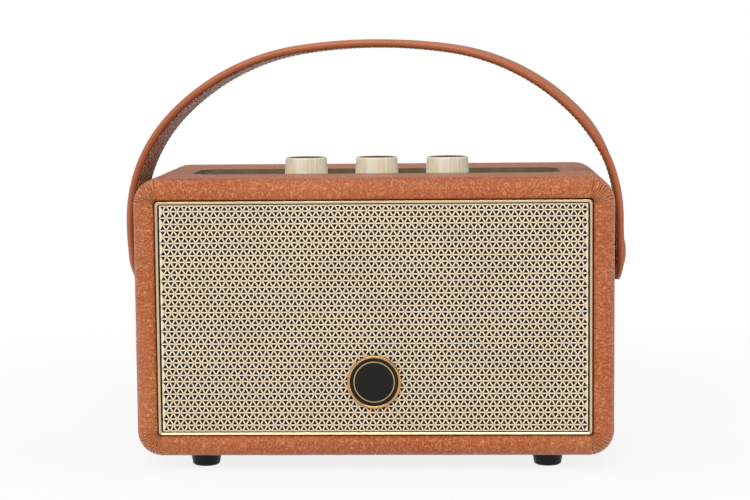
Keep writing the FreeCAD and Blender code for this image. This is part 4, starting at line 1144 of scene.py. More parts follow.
@dataclass
class Cabinet:
    """The leather skin that is stretched over the box and rolled round its edges."""

    corner: float = 13.2 * MM
    opening: float = 1.95 * MM
    roll_inner: Point = (4.2 * MM, 3.2 * MM)
    roll_outer: Point = (7.0 * MM, 8.0 * MM)
    front_depth: float = 11.5 * MM
    back_depth: float = 5.5 * MM
    corner_steps: int = 112
    gap: float = 3.6 * MM
    wall: float = 0.9 * MM
    recess: tuple[float, float, float, float] = (99.1 * MM, 23.6 * MM, 9.6 * MM, -7.5 * MM)
    lip: float = 0.5 * MM
    leather: float = 1.2 * MM
    crease: float = 0.26 * MM
    crease_turn: float = 9.0
    gather_end: float = 26 * MM
    gather_fade: float = 18 * MM
    seam: float = 0.5 * MM
    seam_depth: float = 0.32 * MM
    low: Vector = field(init=False)
    high: Vector = field(init=False)
    rail: Rail = field(init=False)

    def __post_init__(self) -> None:
        """Take the box from the CAD skin."""
        self.low, self.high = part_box("leather_wrap")
        middle = (self.low + self.high) / 2
        middle.y = 0
        self.rail = Rail(
            self.high.x - self.corner, (self.high.z - self.low.z) / 2 - self.corner, middle
        )

    def profile(self) -> list[Point]:
        """Distances from the rail and places in depth, from the front opening to the back one."""
        front, back = self.low.y, self.high.y
        inner, outer = self.roll_inner, self.roll_outer
        crest = self.opening + inner[0]
        heart = self.corner - outer[0]
        lining = [
            (self.opening, front + self.front_depth), (self.opening, front + self.front_depth / 2)
        ]
        rolled = bend((crest, front + inner[1]), inner, 180, 270, 10)
        rolled += bend((heart, front + outer[1]), outer, 270, 360, 16)[1 if heart > crest else 1:]
        start, stop = front + outer[1], back - outer[1]
        count = 6
        wall = [(self.corner, start + (stop - start) * index / count) for index in range(1, count)]
        rear = [(distance, -along) for distance, along in reversed(rolled)]
        rear_lining = [(self.opening, back - self.back_depth)]
        return [*lining, *rolled, *wall, *rear, *rear_lining]

    def build(self) -> bpy.types.Object:
        """Model the skin and dress it."""
        shape = Shape()
        seam_points = [share * self.seam for share in (-2.0, -1.0, -0.5, 0.0, 0.5, 1.0, 2.0)]
        hoop = shape.hoop(self.rail, self.opening, self.corner_steps, self.gap, seam_points)
        shape.run(self.rail, hoop, self.profile())
        self._open_recess(shape)
        self._crumple(shape)
        shape.unwrap(self.rail)
        finish = PebbledLeather(
            "cabinet leather", TAN, TAN_MOTTLE_AND_HIGHLIGHT, TAN_PAINTED_SHADE, pebble=1.5 * MM, stretch=1.6,
            relief=0.8 * MM, roughness=0.36, coat=0.08, contrast=0.66, space=Space.SURFACE,
            gathers=Gathers(
                self.rail.half_width, self.rail.half_height, self.rail.middle.z,
                (self.high.y - 24 * MM, self.high.y - 10 * MM), math.radians(self.crease_turn),
            ),
        )
        piece = shape.finish("leather_skin", [finish.material()], sharp=70)
        wall = piece.modifiers.new("wall", "SOLIDIFY")
        wall.thickness = self.wall
        wall.offset = -1
        return settle(piece, "cabinet", "leather", "leather_wrap")

    def _open_recess(self, shape: Shape) -> None:
        """Cut the flat top back to the lip round the control recess."""
        bm = shape.bm
        start, stop = self.low.y + self.roll_outer[1], self.high.y - self.roll_outer[1]
        flat = [
            face for face in bm.faces
            if all(
                vert.co.z > self.high.z - NEAR and abs(vert.co.x) < self.rail.half_width + NEAR
                and start - NEAR < vert.co.y < stop + NEAR
                for vert in face.verts
            )
        ]
        ahead = min(vert[shape.length] for face in flat for vert in face.verts)
        bmesh.ops.delete(bm, geom=flat, context="FACES")
        border = [
            edge for edge in bm.edges
            if len(edge.link_faces) == 1 and all(
                vert.co.z > self.high.z - NEAR and start - NEAR < vert.co.y < stop + NEAR
                for vert in edge.verts
            )
        ]
        half_length, half_width, radius, centre = self.recess
        lip_rail = Rail(
            half_length - radius, half_width - radius, Vector((0, centre, self.high.z)), level=True
        )
        hoop = shape.hoop(lip_rail, radius + self.lip, 14, self.gap)
        shape_of_lip = [
            (radius + self.lip, self.high.z),
            (radius + self.lip * 0.6, self.high.z - 0.05 * MM),
            (radius + self.lip * 0.3, self.high.z - 0.2 * MM),
            (radius + self.lip * 0.08, self.high.z - 0.5 * MM),
            (radius, self.high.z - self.leather),
        ]
        mouth = list(hoop)
        shape.run(lip_rail, hoop, shape_of_lip)
        bmesh.ops.triangle_fill(bm, use_beauty=True, use_dissolve=False, edges=border + mouth)
        skirt = 3 * MM
        for vert in bm.verts:
            spot = vert.co
            if spot.z <= self.high.z - self.leather - NEAR:
                continue
            if abs(spot.y - centre) < half_width + skirt and abs(spot.x) < half_length + skirt:
                vert[shape.length] = ahead + spot.y - start

    def _crumple(self, shape: Shape) -> None:
        """Press the gathers of the corners, the butt seam and a slight unevenness into the skin."""
        shape.bm.normal_update()
        moves = {}
        front, back = self.low.y, self.high.y
        for vert in shape.bm.verts:
            flat = self.rail.split(vert.co)
            foot = self.rail.foot(flat)
            out = flat - foot
            outside = max(abs(flat.x) - self.rail.half_width, abs(flat.y) - self.rail.half_height)
            if outside < self.opening - NEAR or out.length < NEAR:
                continue
            depth = min(vert.co.y - front, back - vert.co.y)
            fade = clamp((self.gather_end - depth) / self.gather_fade)
            sink = 0.05 * MM * noise.noise(vert.co * 70) + 0.03 * MM * noise.noise(vert.co * 210)
            if abs(out.x) > NEAR and abs(out.y) > NEAR:
                angle = math.degrees(math.atan2(abs(out.y), abs(out.x)))
                wander = 1.6 * noise.noise(Vector((flat.x * 40, flat.y * 40, depth * 90)))
                wave = 0.5 + 0.5 * math.cos(2 * math.pi * (angle + wander) / self.crease_turn)
                side = clamp(min(angle, 90 - angle) / 8)
                vary = 0.65 + 0.5 * noise.noise(
                    Vector((angle / 9, math.copysign(3, flat.x), math.copysign(7, flat.y)))
                )
                sink += self.crease * out.length / self.corner * wave ** 3 * side * fade * vary
            if flat.y < 0 and abs(vert.co.x) < self.seam:
                sink += self.seam_depth * (1 - abs(vert.co.x) / self.seam)
            moves[vert] = vert.normal * -sink
        for vert, move in moves.items():
            vert.co += move


# ---------------------------------------------------------------- grille


@dataclass
class Grille:
    """The metal trim, the punched sheet and the badge on it."""

    gap: float = 0.5 * MM
    band: float = 1.45 * MM
    lip: float = 5.2 * MM
    pitch: float = 3.8 * MM
    row: float = 3.301 * MM
    aside: float = -0.9 * MM
    bar: float = 0.74 * MM
    border: float = 0.26 * MM
    spread: tuple[float, float, float] = (0.35 * MM, 0.75 * MM, 0.6 * MM)
    rim: float = 1.4 * MM
    low: Vector = field(init=False)
    high: Vector = field(init=False)

    def __post_init__(self) -> None:
        """Take the trim's box from the CAD."""
        self.low, self.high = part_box("grille_frame")

    def build(self) -> None:
        """Make every piece of the grille side."""
        self.build_trim()
        self.build_mesh()
        self.build_badge()

    def build_trim(self) -> bpy.types.Object:
        """Trim with an outer land, a bevel towards the mesh and a lip behind it."""
        half_width, half_height = self.high.x, (self.high.z - self.low.z) / 2
        reach = 3.2 * MM
        rail = Rail(
            half_width - reach, half_height - reach, Vector((0, 0, (self.low.z + self.high.z) / 2))
        )
        front, back = self.low.y, self.high.y
        inner = reach - self.band
        lip_front = front + 2.0 * MM
        round_out, round_in = 1.7 * MM, 1.2 * MM
        profile = [
            (reach, back, round_out),
            (reach, front + 0.5 * MM, round_out),
            (reach - 0.05 * MM, front + 0.22 * MM, round_out),
            (reach - 0.18 * MM, front + 0.06 * MM, round_out),
            (reach - 0.36 * MM, front, round_out),
            (reach - 0.56 * MM, front, round_out),
            (reach - 0.66 * MM, front + 0.05 * MM, round_in),
            (reach - 1.28 * MM, front + 0.27 * MM, round_in),
            (reach - 1.39 * MM, front + 0.42 * MM, round_in),
            (inner, front + 0.7 * MM, round_in),
            (inner, lip_front, round_in),
            (reach - self.lip, lip_front, round_in),
            (reach - self.lip, lip_front + 1.0 * MM, round_in),
            (inner, lip_front + 1.0 * MM, round_in),
            (inner, back, round_in),
            (reach, back, round_out),
        ]
        shape = Shape().ring(rail, reach, 10, 12 * MM, profile)
        finish = DrawnMetal(
            "champagne trim", paint_chart(224, 202, 166), paint_chart(196, 172, 134),
            lines=(12.0, 1.0, 12.0), pitch=0.3 * MM, roughness=0.36, contrast=0.5,
        )
        inside = Satin(
            "trim shadow paint", paint_chart(
                16, 13, 11
            ), paint_chart(24, 20, 17), 0.3 * MM, 0.01 * MM, 0.7
        )

        def pick(face: bmesh.types.BMFace) -> int:
            """Black on the inner wall and the lip, champagne elsewhere."""
            spot = face.calc_center_median()
            flat = rail.split(spot)
            out = (flat - rail.foot(flat)).length
            return int(
                out < inner + 0.05 * MM or spot.y > lip_front - 0.1 * MM and out < reach - 0.1 * MM
            )

        piece = shape.finish(
            "grille_trim", [finish.material(), inside.material()], sharp=28, pick=pick
        )
        return settle(piece, "cabinet", "champagne", "grille_frame")

    def build_mesh(self) -> bpy.types.Object:
        """Sheet of bars in three directions with a triangular hole in every gap."""
        low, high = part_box("grille_mesh")
        middle = (low.z + high.z) / 2
        side, below, above = self.spread
        low -= Vector((side, 0, below))
        high += Vector((side, 0, above))
        row = self.row
        half_width = high.x - self.border
        top, bottom = high.z - self.border, low.z + self.border
        rows = 2 * math.ceil((high.z - low.z) / 2 / row + 0.5)
        columns = 2 * math.ceil((half_width + rows * self.pitch / 4) / self.pitch + 0.5)
        shape = Shape()
        bm = shape.bm
        bmesh.ops.create_grid(bm, x_segments=columns, y_segments=rows, size=1.0)
        bmesh.ops.scale(bm, verts=bm.verts[:], vec=(columns * self.pitch / 2, rows * row / 2, 1))
        lean = Matrix(((1, self.pitch / (2 * row), 0), (0, 0, 1), (0, 1, 0))).to_4x4()
        bmesh.ops.transform(
            bm, matrix=Matrix.Translation((self.aside, low.y, middle)) @ lean, verts=bm.verts[:]
        )
        bmesh.ops.triangulate(bm, faces=bm.faces[:], quad_method="SHORT_EDGE", ngon_method="BEAUTY")
        for outward, place in (((1, 0, 0), half_width), ((-1, 0, 0), -half_width),
                               ((0, 0, 1), top), ((0, 0, -1), bottom)):
            bmesh.ops.bisect_plane(
                bm, geom=bm.verts[:] + bm.edges[:] + bm.faces[:], dist=NEAR,
                plane_co=(place, 0, place), plane_no=outward, clear_outer=True,
            )
        holes = bm.faces[:]
        self._add_border(bm, low, high)
        bmesh.ops.recalc_face_normals(bm, faces=bm.faces[:])
        if bm.faces[0].normal.y > 0:
            bmesh.ops.reverse_faces(bm, faces=bm.faces[:])
        holes = [face for face in holes if 4 * face.calc_area() / face.calc_perimeter() > 1.1 * MM]
        bmesh.ops.inset_individual(bm, faces=holes, thickness=self.bar * 0.33, use_even_offset=True)
        bmesh.ops.inset_individual(
            bm, faces=holes, thickness=self.bar * 0.17, depth=-0.1 * MM, use_even_offset=True
        )
        bmesh.ops.delete(bm, geom=holes, context="FACES")
        finish = PunchedSheetPaint(
            "grille paint", paint_chart(
                240, 222, 194
            ), paint_chart(196, 168, 126), paint_chart(30, 20, 12),
            self.pitch, row, (self.aside, middle), low.y,
        )
        piece = shape.finish("grille_sheet", [finish.material()], sharp=50, outward=False)
        wall = piece.modifiers.new("wall", "SOLIDIFY")
        wall.thickness = 0.8 * MM
        wall.offset = -1
        return settle(piece, "cabinet", "mesh_paint", "grille_mesh")

    def _add_border(self, bm: bmesh.types.BMesh, low: Vector, high: Vector) -> None:
        """Plain border round the holes, out to the sheet's edge."""
        rim = [edge for edge in bm.edges if len(edge.link_faces) == 1]
        grown = bmesh.ops.extrude_edge_only(bm, edges=rim)["geom"]
        near = self.border + 1e-5
        for vert in [g for g in grown if isinstance(g, bmesh.types.BMVert)]:
            if abs(vert.co.x) > high.x - near:
                vert.co.x = math.copysign(high.x, vert.co.x)
            if vert.co.z > high.z - near:
                vert.co.z = high.z
            elif vert.co.z < low.z + near:
                vert.co.z = low.z

    def build_badge(self) -> None:
        """Turned gold rim and a dished black plate inside it."""
        low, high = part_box("badge_rim")
        centre = (low + high) / 2
        centre.y = high.y
        radius, thick = (high.x - low.x) / 2, high.y - low.y
        inner = radius - self.rim
        rim = [
            (inner, 0), (radius - 0.1 * MM, 0), (radius, 0.1 * MM), (radius, thick - 0.5 * MM),
            (radius - 0.12 * MM, thick - 0.2 * MM), (radius - 0.34 * MM, thick - 0.04 * MM),
            (radius - 0.6 * MM, thick), (inner + 0.45 * MM, thick), (
                inner + 0.2 * MM, thick - 0.1 * MM
            ),
            (inner, thick - 0.5 * MM), (inner, 0),
        ]
        gold = DrawnMetal(
            "badge gold", paint_chart(214, 172, 112), paint_chart(176, 132, 78), lines=(
                40.0, 1.0, 1.0
            ),
            space=Space.SURFACE, pitch=0.2 * MM, roughness=0.26, contrast=0.5,
        )
        shape = Shape().lathe(rim, 96, centre, Vector((0, -1, 0)))
        settle(
            shape.finish("badge_ring", [gold.material()], sharp=50), "cabinet", "badge_gold",
            "badge_rim"
        )
        field_height = thick - 0.6 * MM
        plate = [(0, 0), (inner, 0), (inner, field_height)]
        plate += [
            (
                inner * math.cos(math.radians(turn)),
                field_height - 0.4 * MM * math.sin(math.radians(turn))
            )
            for turn in range(10, 100, 10)
        ][:-1] + [(0, field_height - 0.4 * MM)]
        black = RingedBadge(
            "badge black", (centre.x, centre.z), (inner - 2.3 * MM, inner - 1.9 * MM)
        )
        shape = Shape().lathe(plate, 96, centre, Vector((0, -1, 0)))
        settle(
            shape.finish("badge_field", [black.material()], sharp=50), "cabinet", "badge_black",
            "badge_plate"
        )


# ---------------------------------------------------------------- controls


@dataclass
class Controls:
    """The three knobs and the recess that they stand in."""

    names: tuple[str, ...] = ("volume", "bass", "treble")
    flutes: int = 120
    flute: float = 0.1 * MM
    hollow: Point = (8.2 * MM, 6.0 * MM)
    dish: float = 0.9 * MM
    sink: float = 0.35 * MM
    notch: Point = (0.9 * MM, 2.0 * MM)
    recess: tuple[float, float, float, float] = (98.4 * MM, 22.3 * MM, 8.6 * MM, -7.5 * MM)
    collar: float = 6.5 * MM

    def build(self) -> None:
        """Make the knobs and dress the tray."""
        # The gold is the knob's own colour; the pale streaks on this non-metal side are painted
        # reflection, standing in for the polished metal's sheen.
        side = DrawnMetal(
            "knob gold", paint_chart(255, 254, 236), paint_chart(214, 166, 96), lines=(
                1.0, 40.0, 1.0
            ),
            space=Space.SURFACE, pitch=0.3 * MM, roughness=0.28, contrast=0.56, metallic=0.0,
        ).material()
        # painted reflection: the dished top gets a dark colour for the dark surroundings that it
        # reflects
        top = DrawnMetal(
            "knob top", paint_chart(112, 96, 74), paint_chart(82, 68, 50), lines=(40.0, 1.0, 1.0),
            space=Space.SURFACE, pitch=0.16 * MM, roughness=0.42, contrast=0.5, metallic=0.7,
        ).material()
        mark = Satin(
            "knob mark", paint_chart(22, 20, 18), paint_chart(34, 30, 28), 0.2 * MM, 0.01 * MM, 0.5
        ).material()
        centres = [self.build_knob(name, [side, top, mark]) for name in self.names]
        tray = ScribedTray(
            "tray metal", paint_chart(
                158, 140, 106
            ), paint_chart(128, 110, 80), paint_chart(44, 38, 32),
            centres, (14.2 * MM, 16.0 * MM), 11, 300.0,
        ).material()
        dress(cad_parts["control_tray"], tray)
        # painted shade: the collar is a darker, rougher copy of the tray's metal, darkening the
        # wall of the recess
        edge = Satin(
            "tray edge", paint_chart(
                128, 112, 86
            ), paint_chart(104, 88, 66), 0.5 * MM, 0.01 * MM, 0.55, 0.25
        ).material()
        self.build_collar(edge)

    def build_collar(self, material: bpy.types.Material) -> bpy.types.Object:
        """Turned-up edge of the recess, which lines the leather's cut edge up to the top face."""
        _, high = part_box("leather_wrap")
        half_length, half_width, radius, centre = self.recess
        rail = Rail(
            half_length - radius, half_width - radius, Vector((0, centre, high.z)), level=True
        )
        inside, outside = radius, radius + 1.0 * MM
        profile = [
            (outside, high.z - self.collar), (inside, high.z - self.collar),
            (inside, high.z - 0.12 * MM), (inside + 0.12 * MM, high.z),
            (outside - 0.06 * MM, high.z + 0.02 * MM), (outside, high.z - 0.06 * MM),
            (outside, high.z - self.collar),
        ]
        shape = Shape().ring(rail, outside, 20, 8 * MM, profile)
        return settle(shape.finish("tray_collar", [material], sharp=35), "cabinet", "tray_metal")

    def build_knob(self, name: str, materials: Sequence[bpy.types.Material]) -> Point:
        """Model one knob.

        Args:
            name: The control that it belongs to.
            materials: Its side, top and mark.

        Returns:
            Its centre in plan.
        """
        low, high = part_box(f"{name}_knob")
        centre = (low + high) / 2
        centre.z = low.z
        foot, height = (high.x - low.x) / 2, high.z - low.z - self.sink
        rim = foot - 0.9 * MM
        dish = rim - 1.5 * MM
        profile = [
            (0, self.hollow[1]), (self.hollow[0], self.hollow[1]), (self.hollow[0], 0),
            (foot - 0.3 * MM, 0), (foot, 0.3 * MM), (foot - 0.02 * MM, 0.9 * MM),
            (foot + (rim - foot) * 0.5, height * 0.5), (rim + 0.04 * MM, height - 1.2 * MM),
            (rim, height - 0.9 * MM), (rim - 0.05 * MM, height - 0.45 * MM),
            (rim - 0.25 * MM, height - 0.12 * MM), (rim - 0.5 * MM, height),
            (dish + 0.15 * MM, height), (dish, height - 0.1 * MM), (
                dish - 0.5 * MM, height - self.dish * 0.6
            ),
            (
                dish * 0.6, height - self.dish * 0.85
            ), (dish * 0.2, height - self.dish), (0, height - self.dish),
        ]
        shape = Shape().lathe(profile, 2 * self.flutes, centre, Vector((0, 0, 1)))
        self._cut_flutes(shape, centre, (low.z + 0.8 * MM, low.z + height - 1.0 * MM), rim)

        def pick(face: bmesh.types.BMFace) -> int:
            """The mark, the dished top or the side."""
            spot = face.calc_center_median() - centre
            reach = math.hypot(spot.x, spot.y)
            on_rim = spot.y > rim - self.notch[1] and spot.z > height - 1.4 * MM
            if on_rim and abs(spot.x) < self.notch[0] / 2:
                return 2
            return 1 if reach < dish + 0.1 * MM and spot.z > height / 2 else 0

        piece = shape.finish(f"{name}_dial", materials, sharp=32, pick=pick)
        settle(piece, f"{name}_control", "knob_gold", f"{name}_knob")
        return (centre.x, centre.y)

    def _cut_flutes(self, shape: Shape, centre: Vector, heights: Point, rim: float) -> None:
        """Press every other line of the knob's side inwards."""
        for vert in shape.bm.verts:
            flat = Vector((vert.co.x - centre.x, vert.co.y - centre.y, 0))
            if not heights[0] <= vert.co.z <= heights[1] or flat.length < rim - 0.2 * MM:
                continue
            step = round(math.atan2(flat.y, flat.x) / (math.pi / self.flutes))
            if step % 2:
                vert.co -= flat.normalized() * self.flute


# ---------------------------------------------------------------- strap handle


@dataclass
class Strap:
    """The arched strap: a turned leather outer, a grained lining and two rows of stitches."""

    radii: tuple[float, ...] = (278.0 * MM, 121.0 * MM, 85.5 * MM)
    turns: tuple[float, ...] = (8.6, 46.0, 90.0)
    outer: float = 4.1 * MM
    thickness: float = 4.4 * MM
    edge: float = 1.9 * MM
    margin: float = 1.7 * MM
    bush: float = 4.25 * MM
    stitch: Point = (2.7 * MM, 1.7 * MM)
    shear: float = 7.0
    slack: float = 0.9 * MM
    tongue: float = 15.5 * MM
    skive: float = 1.9 * MM
    clear: float = 161.0 * MM
    thread: float = 0.26 * MM
    row_inset: float = 0.7 * MM
    row_sink: float = 0.08 * MM
    low: Vector = field(init=False)
    high: Vector = field(init=False)
    pivot: float = field(init=False)
    half: float = field(init=False)

    def __post_init__(self) -> None:
        """Take the strap's box from the CAD."""
        self.low, self.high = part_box("strap_outer")
        self.half = self.high.y
        self.pivot = self.low.z + self.half

    def line(self) -> list[Station]:
        """Stations along the outer face, from one end over the arch to the other."""
        centre = Vector((0, 0, self.high.z - self.radii[0]))
        right = []
        start = 0.0
        previous = self.radii[0]
        for radius, stop in zip(self.radii, self.turns):
            turn = math.radians(start)
            centre += Vector((math.sin(turn), 0, math.cos(turn))) * (previous - radius)
            steps = max(6, int(radius * math.radians(stop - start) / (3 * MM)))
            for index in range(steps):
                angle = math.radians(start + (stop - start) * index / steps)
                out = Vector((math.sin(angle), 0, math.cos(angle)))
                right.append((centre + out * radius, out))
            previous, start = radius, stop
        side = centre.x + previous
        leg = centre.z - self.pivot
        steps = int(leg / (3 * MM))
        right += [
            (Vector((side, 0, centre.z - leg * index / steps)), Vector((1, 0, 0)))
            for index in range(steps + 1)
        ]
        drop = [self.tongue * math.sin(math.radians(turn)) for turn in range(6, 88, 6)]
        right += [(Vector((side, 0, self.pivot - fall)), Vector((1, 0, 0))) for fall in drop]
        left = [(Vector((-p.x, 0, p.z)), Vector((-o.x, 0, o.z))) for p, o in right[:0:-1]]
        run = 0.0
        stations = []
        before = None
        for point, out in left + right:
            run += (point - before).length if before else 0.0
            before = point
            fade = clamp((point.z - self.pivot + 14 * MM) / (30 * MM))
            if point.x > 0:
                fade *= 0.42 + 0.58 * clamp((point.z - self.clear) / (22 * MM))
            lean = math.tan(math.radians(self.shear)) * fade * fade * (3 - 2 * fade)
            thin = clamp((self.pivot - 4 * MM - point.z) / (self.tongue - 4 * MM))
            drawn = clamp((self.high.z - point.z) / (70 * MM))
            aside = Vector((-self.slack * drawn if point.x < 0 else 0.0, 0, 0))
            stations.append(Station(point + aside, out, run, lean, self.skive * thin))
        return stations

    def width_at(self, station: Station, half: float) -> float:
        """Half the width there, which draws in round the ends."""
        fall = self.pivot - station.point.z
        if fall <= 0:
            return half
        return half * math.sqrt(max(0.0, 1 - (fall / self.tongue) ** 2))

    def section(self, half: float, depths: Point, edge: float) -> Callable[[Station], list[Point]]:
        """A rounded bar's section as a function of the station.

        Args:
            half: Half its width.
            depths: How far under the strap's outer face it starts and ends.
            edge: The rounding of its edges.

        Returns:
            The function.
        """

        def points(station: Station) -> list[Point]:
            wide = self.width_at(station, half)
            soft = min(edge, wide * 0.9)
            steps = [-1.0, -0.66, -0.33, 0.0, 0.33, 0.66, 1.0]
            flat = [step * (wide - soft) for step in steps]
            near, far = depths[0] + station.skive * (1 - depths[0] / self.thickness), depths[1]
            deep = edge * (far - near) / (depths[1] - depths[0])
            upper = [(across, near) for across in flat[1:-1]]
            lower = [(-across, far) for across in flat[1:-1]]
            return [
                *upper,
                *bend((wide - soft, near + deep), (soft, deep), -90, 0, 6),
                *bend((wide - soft, far - deep), (soft, deep), 0, 90, 6),
                *lower,
                *bend((soft - wide, far - deep), (soft, deep), 90, 180, 6),
                *bend((soft - wide, near + deep), (soft, deep), 180, 270, 6),
            ]

        return points

    def build(self) -> None:
        """Make the strap's leather, lining and stitches."""
        stations = self.line()
        shape = Shape()
        shape.sweep(stations, self.section(self.half, (0.0, self.outer), self.edge))
        outer = shape.finish(
            "strap_leather_ply", [StrapLeather("strap leather", self.outer).material()], sharp=60
        )
        self._drill(outer)
        settle(outer, "strap_handle", "strap_leather", "strap_outer")
        inner_half = self.half - self.margin
        shape = Shape()
        shape.sweep(
            stations, self.section(inner_half, (self.outer - 0.6 * MM, self.thickness), 0.28 * MM)
        )
        # The lining's pale second colour paints highlights on its ripples, and its dark third
        # colour paints shade in its hollows.
        lining_finish = PebbledLeather(
            "lining leather", paint_chart(74, 34, 20), paint_chart(
                224, 166, 140
            ), paint_chart(30, 12, 8),
            pebble=1.5 * MM, relief=0.7 * MM, roughness=0.5, contrast=1.2, coat=0.04,
        )
        lining = shape.finish("strap_lining_ply", [lining_finish.material()], sharp=60)
        self._drill(lining)
        settle(lining, "strap_handle", "lining_leather", "strap_lining")
        self._stitch(stations, inner_half)

    def _drill(self, piece: bpy.types.Object) -> None:
        """Cut the hole for the pivot bushes through both ends."""
        shape = Shape()
        reach = self.high.x + 5 * MM
        profile = [(0, -reach), (self.bush, -reach), (self.bush, reach), (0, reach)]
        shape.lathe(profile, 48, Vector((0, 0, self.pivot)), Vector((1, 0, 0)))
        drill = shape.finish("drill", [])
        cut = piece.modifiers.new("hole", "BOOLEAN")
        cut.operation = "DIFFERENCE"
        cut.solver = "EXACT"
        cut.object = drill
        bake_modifiers(piece)
        bpy.data.objects.remove(drill)

    def _stitch(self, stations: Sequence[Station], inner_half: float) -> None:
        """Lay a row of short threads along both edges of the lining."""
        aside, inward = inner_half - self.row_inset, self.thickness - self.row_sink
        rows = [(-aside, inward), (aside, inward)]
        shape = Shape()
        pitch, long = self.stitch
        total = stations[-1].run
        count = int(total / pitch)
        place = 0
        for index in range(count):
            run = (index + 0.5) * pitch
            while place < len(stations) - 2 and stations[place + 1].run < run:
                place += 1
            here, after = stations[place], stations[place + 1]
            share = (run - here.run) / (after.run - here.run)
            point = here.point.lerp(after.point, share)
            if point.z < self.pivot:
                continue
            spot = Station(
                point, here.outward.lerp(after.outward, share).normalized(), run, here.lean
            )
            ahead = (after.point - here.point).normalized()
            for across, inward in rows:
                self._thread(shape, spot.place(across, inward), ahead, spot.outward, long)
        thread = Satin(
            "waxed thread", paint_chart(92, 50, 40), paint_chart(
                126, 76, 58
            ), 0.2 * MM, 0.04 * MM, 0.6
        )
        piece = shape.finish("strap_stitches", [thread.material()], sharp=50)
        settle(piece, "strap_handle", "strap_leather")

    def _thread(
        self, shape: Shape, spot: Vector, ahead: Vector, outward: Vector, long: float
    ) -> None:
        """One stitch, a slim six-sided bead that lies along the strap."""
        bead = bmesh.ops.create_cone(
            shape.bm, cap_ends=True, segments=6,
            radius1=self.thread, radius2=self.thread, depth=long * 0.7,
        )["verts"]
        side = ahead.cross(outward).normalized()
        turn = Matrix((side, outward, ahead)).transposed().to_4x4()
        bmesh.ops.transform(shape.bm, matrix=Matrix.Translation(spot) @ turn, verts=bead)


# ---------------------------------------------------------------- studio


@dataclass(frozen=True)
class Lamp:
    """A soft rectangular lamp."""

    name: str
    place: tuple[float, float, float]
    size: Point
    power: float

    def hang(self, aim: Vector) -> None:
        """Hang it in its place, turned towards the aim."""
        light = bpy.data.lights.new(self.name, "AREA")
        light.shape = "RECTANGLE"
        light.size, light.size_y = self.size
        light.energy = self.power
        lamp = bpy.data.objects.new(self.name, light)
        where = Vector(self.place)
        turn = (aim - where).to_track_quat("-Z", "Y").to_matrix().to_4x4()
        lamp.matrix_world = Matrix.Translation(where) @ turn
        bpy.context.scene.collection.objects.link(lamp)


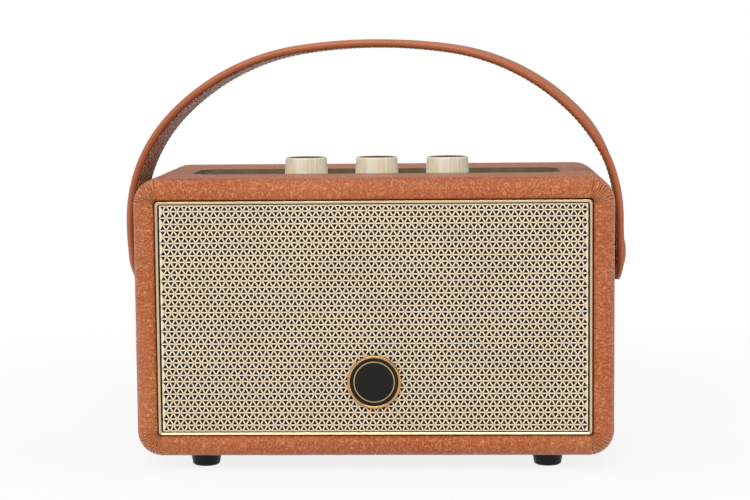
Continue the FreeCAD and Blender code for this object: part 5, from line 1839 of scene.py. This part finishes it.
@dataclass
class Studio:
    """Pale floor, white surroundings, soft lamps and the camera."""

    camera_place: Vector = field(
        default_factory=lambda: Vector((41.86 * MM, -1116.2 * MM, 220.3 * MM))
    )
    yaw: float = 0.0390
    pitch: float = -0.0986
    roll: float = 0.0089
    lens: float = 97.7
    sensor: float = 36.0
    floor_size: float = 14.0
    floor_lit: Point = (0.2, 0.7)
    front_level: float = 0.26
    side_level: float = 0.38
    back_level: float = 0.16
    top_level: float = 0.65
    sky_level: float = 0.25
    aim_height: float = 0.09
    lamps: tuple[Lamp, ...] = (
        Lamp("overhead", (0.0, 0.1, 1.9), (1.4, 1.4), 7.0),
        Lamp("front", (-0.15, -1.7, 1.25), (1.5, 0.3), 21.0),
        Lamp("left", (-2.0, -1.15, 0.4), (0.5, 0.8), 5.0),
        Lamp("right", (2.0, -1.15, 0.4), (0.5, 0.8), 3.5),
    )

    def build(self) -> None:
        """Set the stage."""
        self.place_camera()
        self.lay_floor()
        self.fill_world()
        self.hang_lamps()
        bpy.context.scene.view_settings.view_transform = "Standard"

    def place_camera(self) -> None:
        """Camera at a low three-quarter height in front of the radio."""
        lens = bpy.data.cameras.new("camera")
        lens.lens = self.lens
        lens.sensor_width = self.sensor
        lens.clip_end = 100
        camera = bpy.data.objects.new("camera", lens)
        turn = Matrix.Rotation(self.yaw, 4, "Z") @ Matrix.Rotation(self.pitch, 4, "X")
        turn = turn @ Matrix.Rotation(self.roll, 4, "Y") @ Matrix.Rotation(math.pi / 2, 4, "X")
        camera.matrix_world = Matrix.Translation(self.camera_place) @ turn
        bpy.context.scene.collection.objects.link(camera)
        bpy.context.scene.camera = camera

    def lay_floor(self) -> None:
        """Wide floor that the camera sees as white and that keeps the radio's shadow."""
        shape = Shape()
        bmesh.ops.create_grid(shape.bm, x_segments=8, y_segments=8, size=self.floor_size / 2)
        paint = Material("floor paint")
        mottle = paint.noise(paint.place(), 9.0, 3.0, 0.5)
        tone = paint.mix(mottle * 0.3, paint_chart(238, 238, 238), paint_chart(232, 232, 233))
        body = paint.node("ShaderNodeBsdfDiffuse", {}, {"Color": tone})
        glow = paint.node("ShaderNodeEmission", {}, {"Color": (1.0, 1.0, 1.0), "Strength": 1.0})
        across, ahead, _ = paint.axes(paint.place())
        away = (across ** 2.0 + ahead ** 2.0) ** 0.5
        lit = 0.85 + away.rise(*self.floor_lit) * 0.15
        whole = paint.node(
            "ShaderNodeMixShader", {}, {0: paint.background_rays() * lit, 1: body, 2: glow}
        )
        paint.node("ShaderNodeOutputMaterial", {}, {"Surface": whole})
        floor = shape.finish("floor", [paint.result])

    def fill_world(self) -> None:
        """White all round for the camera, a little dimmer in front for everything else."""
        world = bpy.data.worlds.new("studio")
        world.use_nodes = True
        bpy.context.scene.world = world
        paint = Paint(world.node_tree)
        spot = paint.node("ShaderNodeTexCoord", output="Generated")
        aside, ahead, up = paint.axes(spot)
        level = self.front_level + aside.size().rise(0.35, 0.85) * self.side_level
        level = level + ahead.rise(-0.2, 0.7) * self.back_level
        level = level.math("MINIMUM", level, self.top_level) + up.rise(0.5, 0.75) * self.sky_level
        seen = paint.node("ShaderNodeLightPath", output="Is Camera Ray")
        strength = seen + (1 - seen) * level
        light = paint.node(
            "ShaderNodeBackground", {}, {"Color": (1.0, 1.0, 1.0), "Strength": strength}
        )
        paint.node("ShaderNodeOutputWorld", {}, {"Surface": light})

    def hang_lamps(self) -> None:
        """Large soft lamps above, in front and at both sides."""
        for lamp in self.lamps:
            lamp.hang(Vector((0, 0, self.aim_height)))


# ---------------------------------------------------------------- assembly


def dress_carried_nodes() -> None:
    """Give every CAD piece that stays its finish."""
    for finish, nodes in CARRIED.items():
        material = finish.value.material()
        for node in nodes:
            dress(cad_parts[node], material)
        LOG.info("%s on %s", material.name, ", ".join(nodes))


def main() -> None:
    """Build the radio's looks and its stage."""
    logging.basicConfig(level=logging.INFO, format="%(name)s: %(message)s")
    Cabinet().build()
    Grille().build()
    Controls().build()
    Strap().build()
    dress_carried_nodes()
    Studio().build()


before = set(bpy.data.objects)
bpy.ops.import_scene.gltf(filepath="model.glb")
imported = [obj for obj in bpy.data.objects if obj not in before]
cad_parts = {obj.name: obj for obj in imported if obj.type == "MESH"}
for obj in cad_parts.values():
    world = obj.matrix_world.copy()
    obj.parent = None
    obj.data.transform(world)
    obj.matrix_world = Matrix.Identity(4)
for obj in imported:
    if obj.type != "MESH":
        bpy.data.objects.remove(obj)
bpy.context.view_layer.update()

if __name__ == "__main__":
    main()
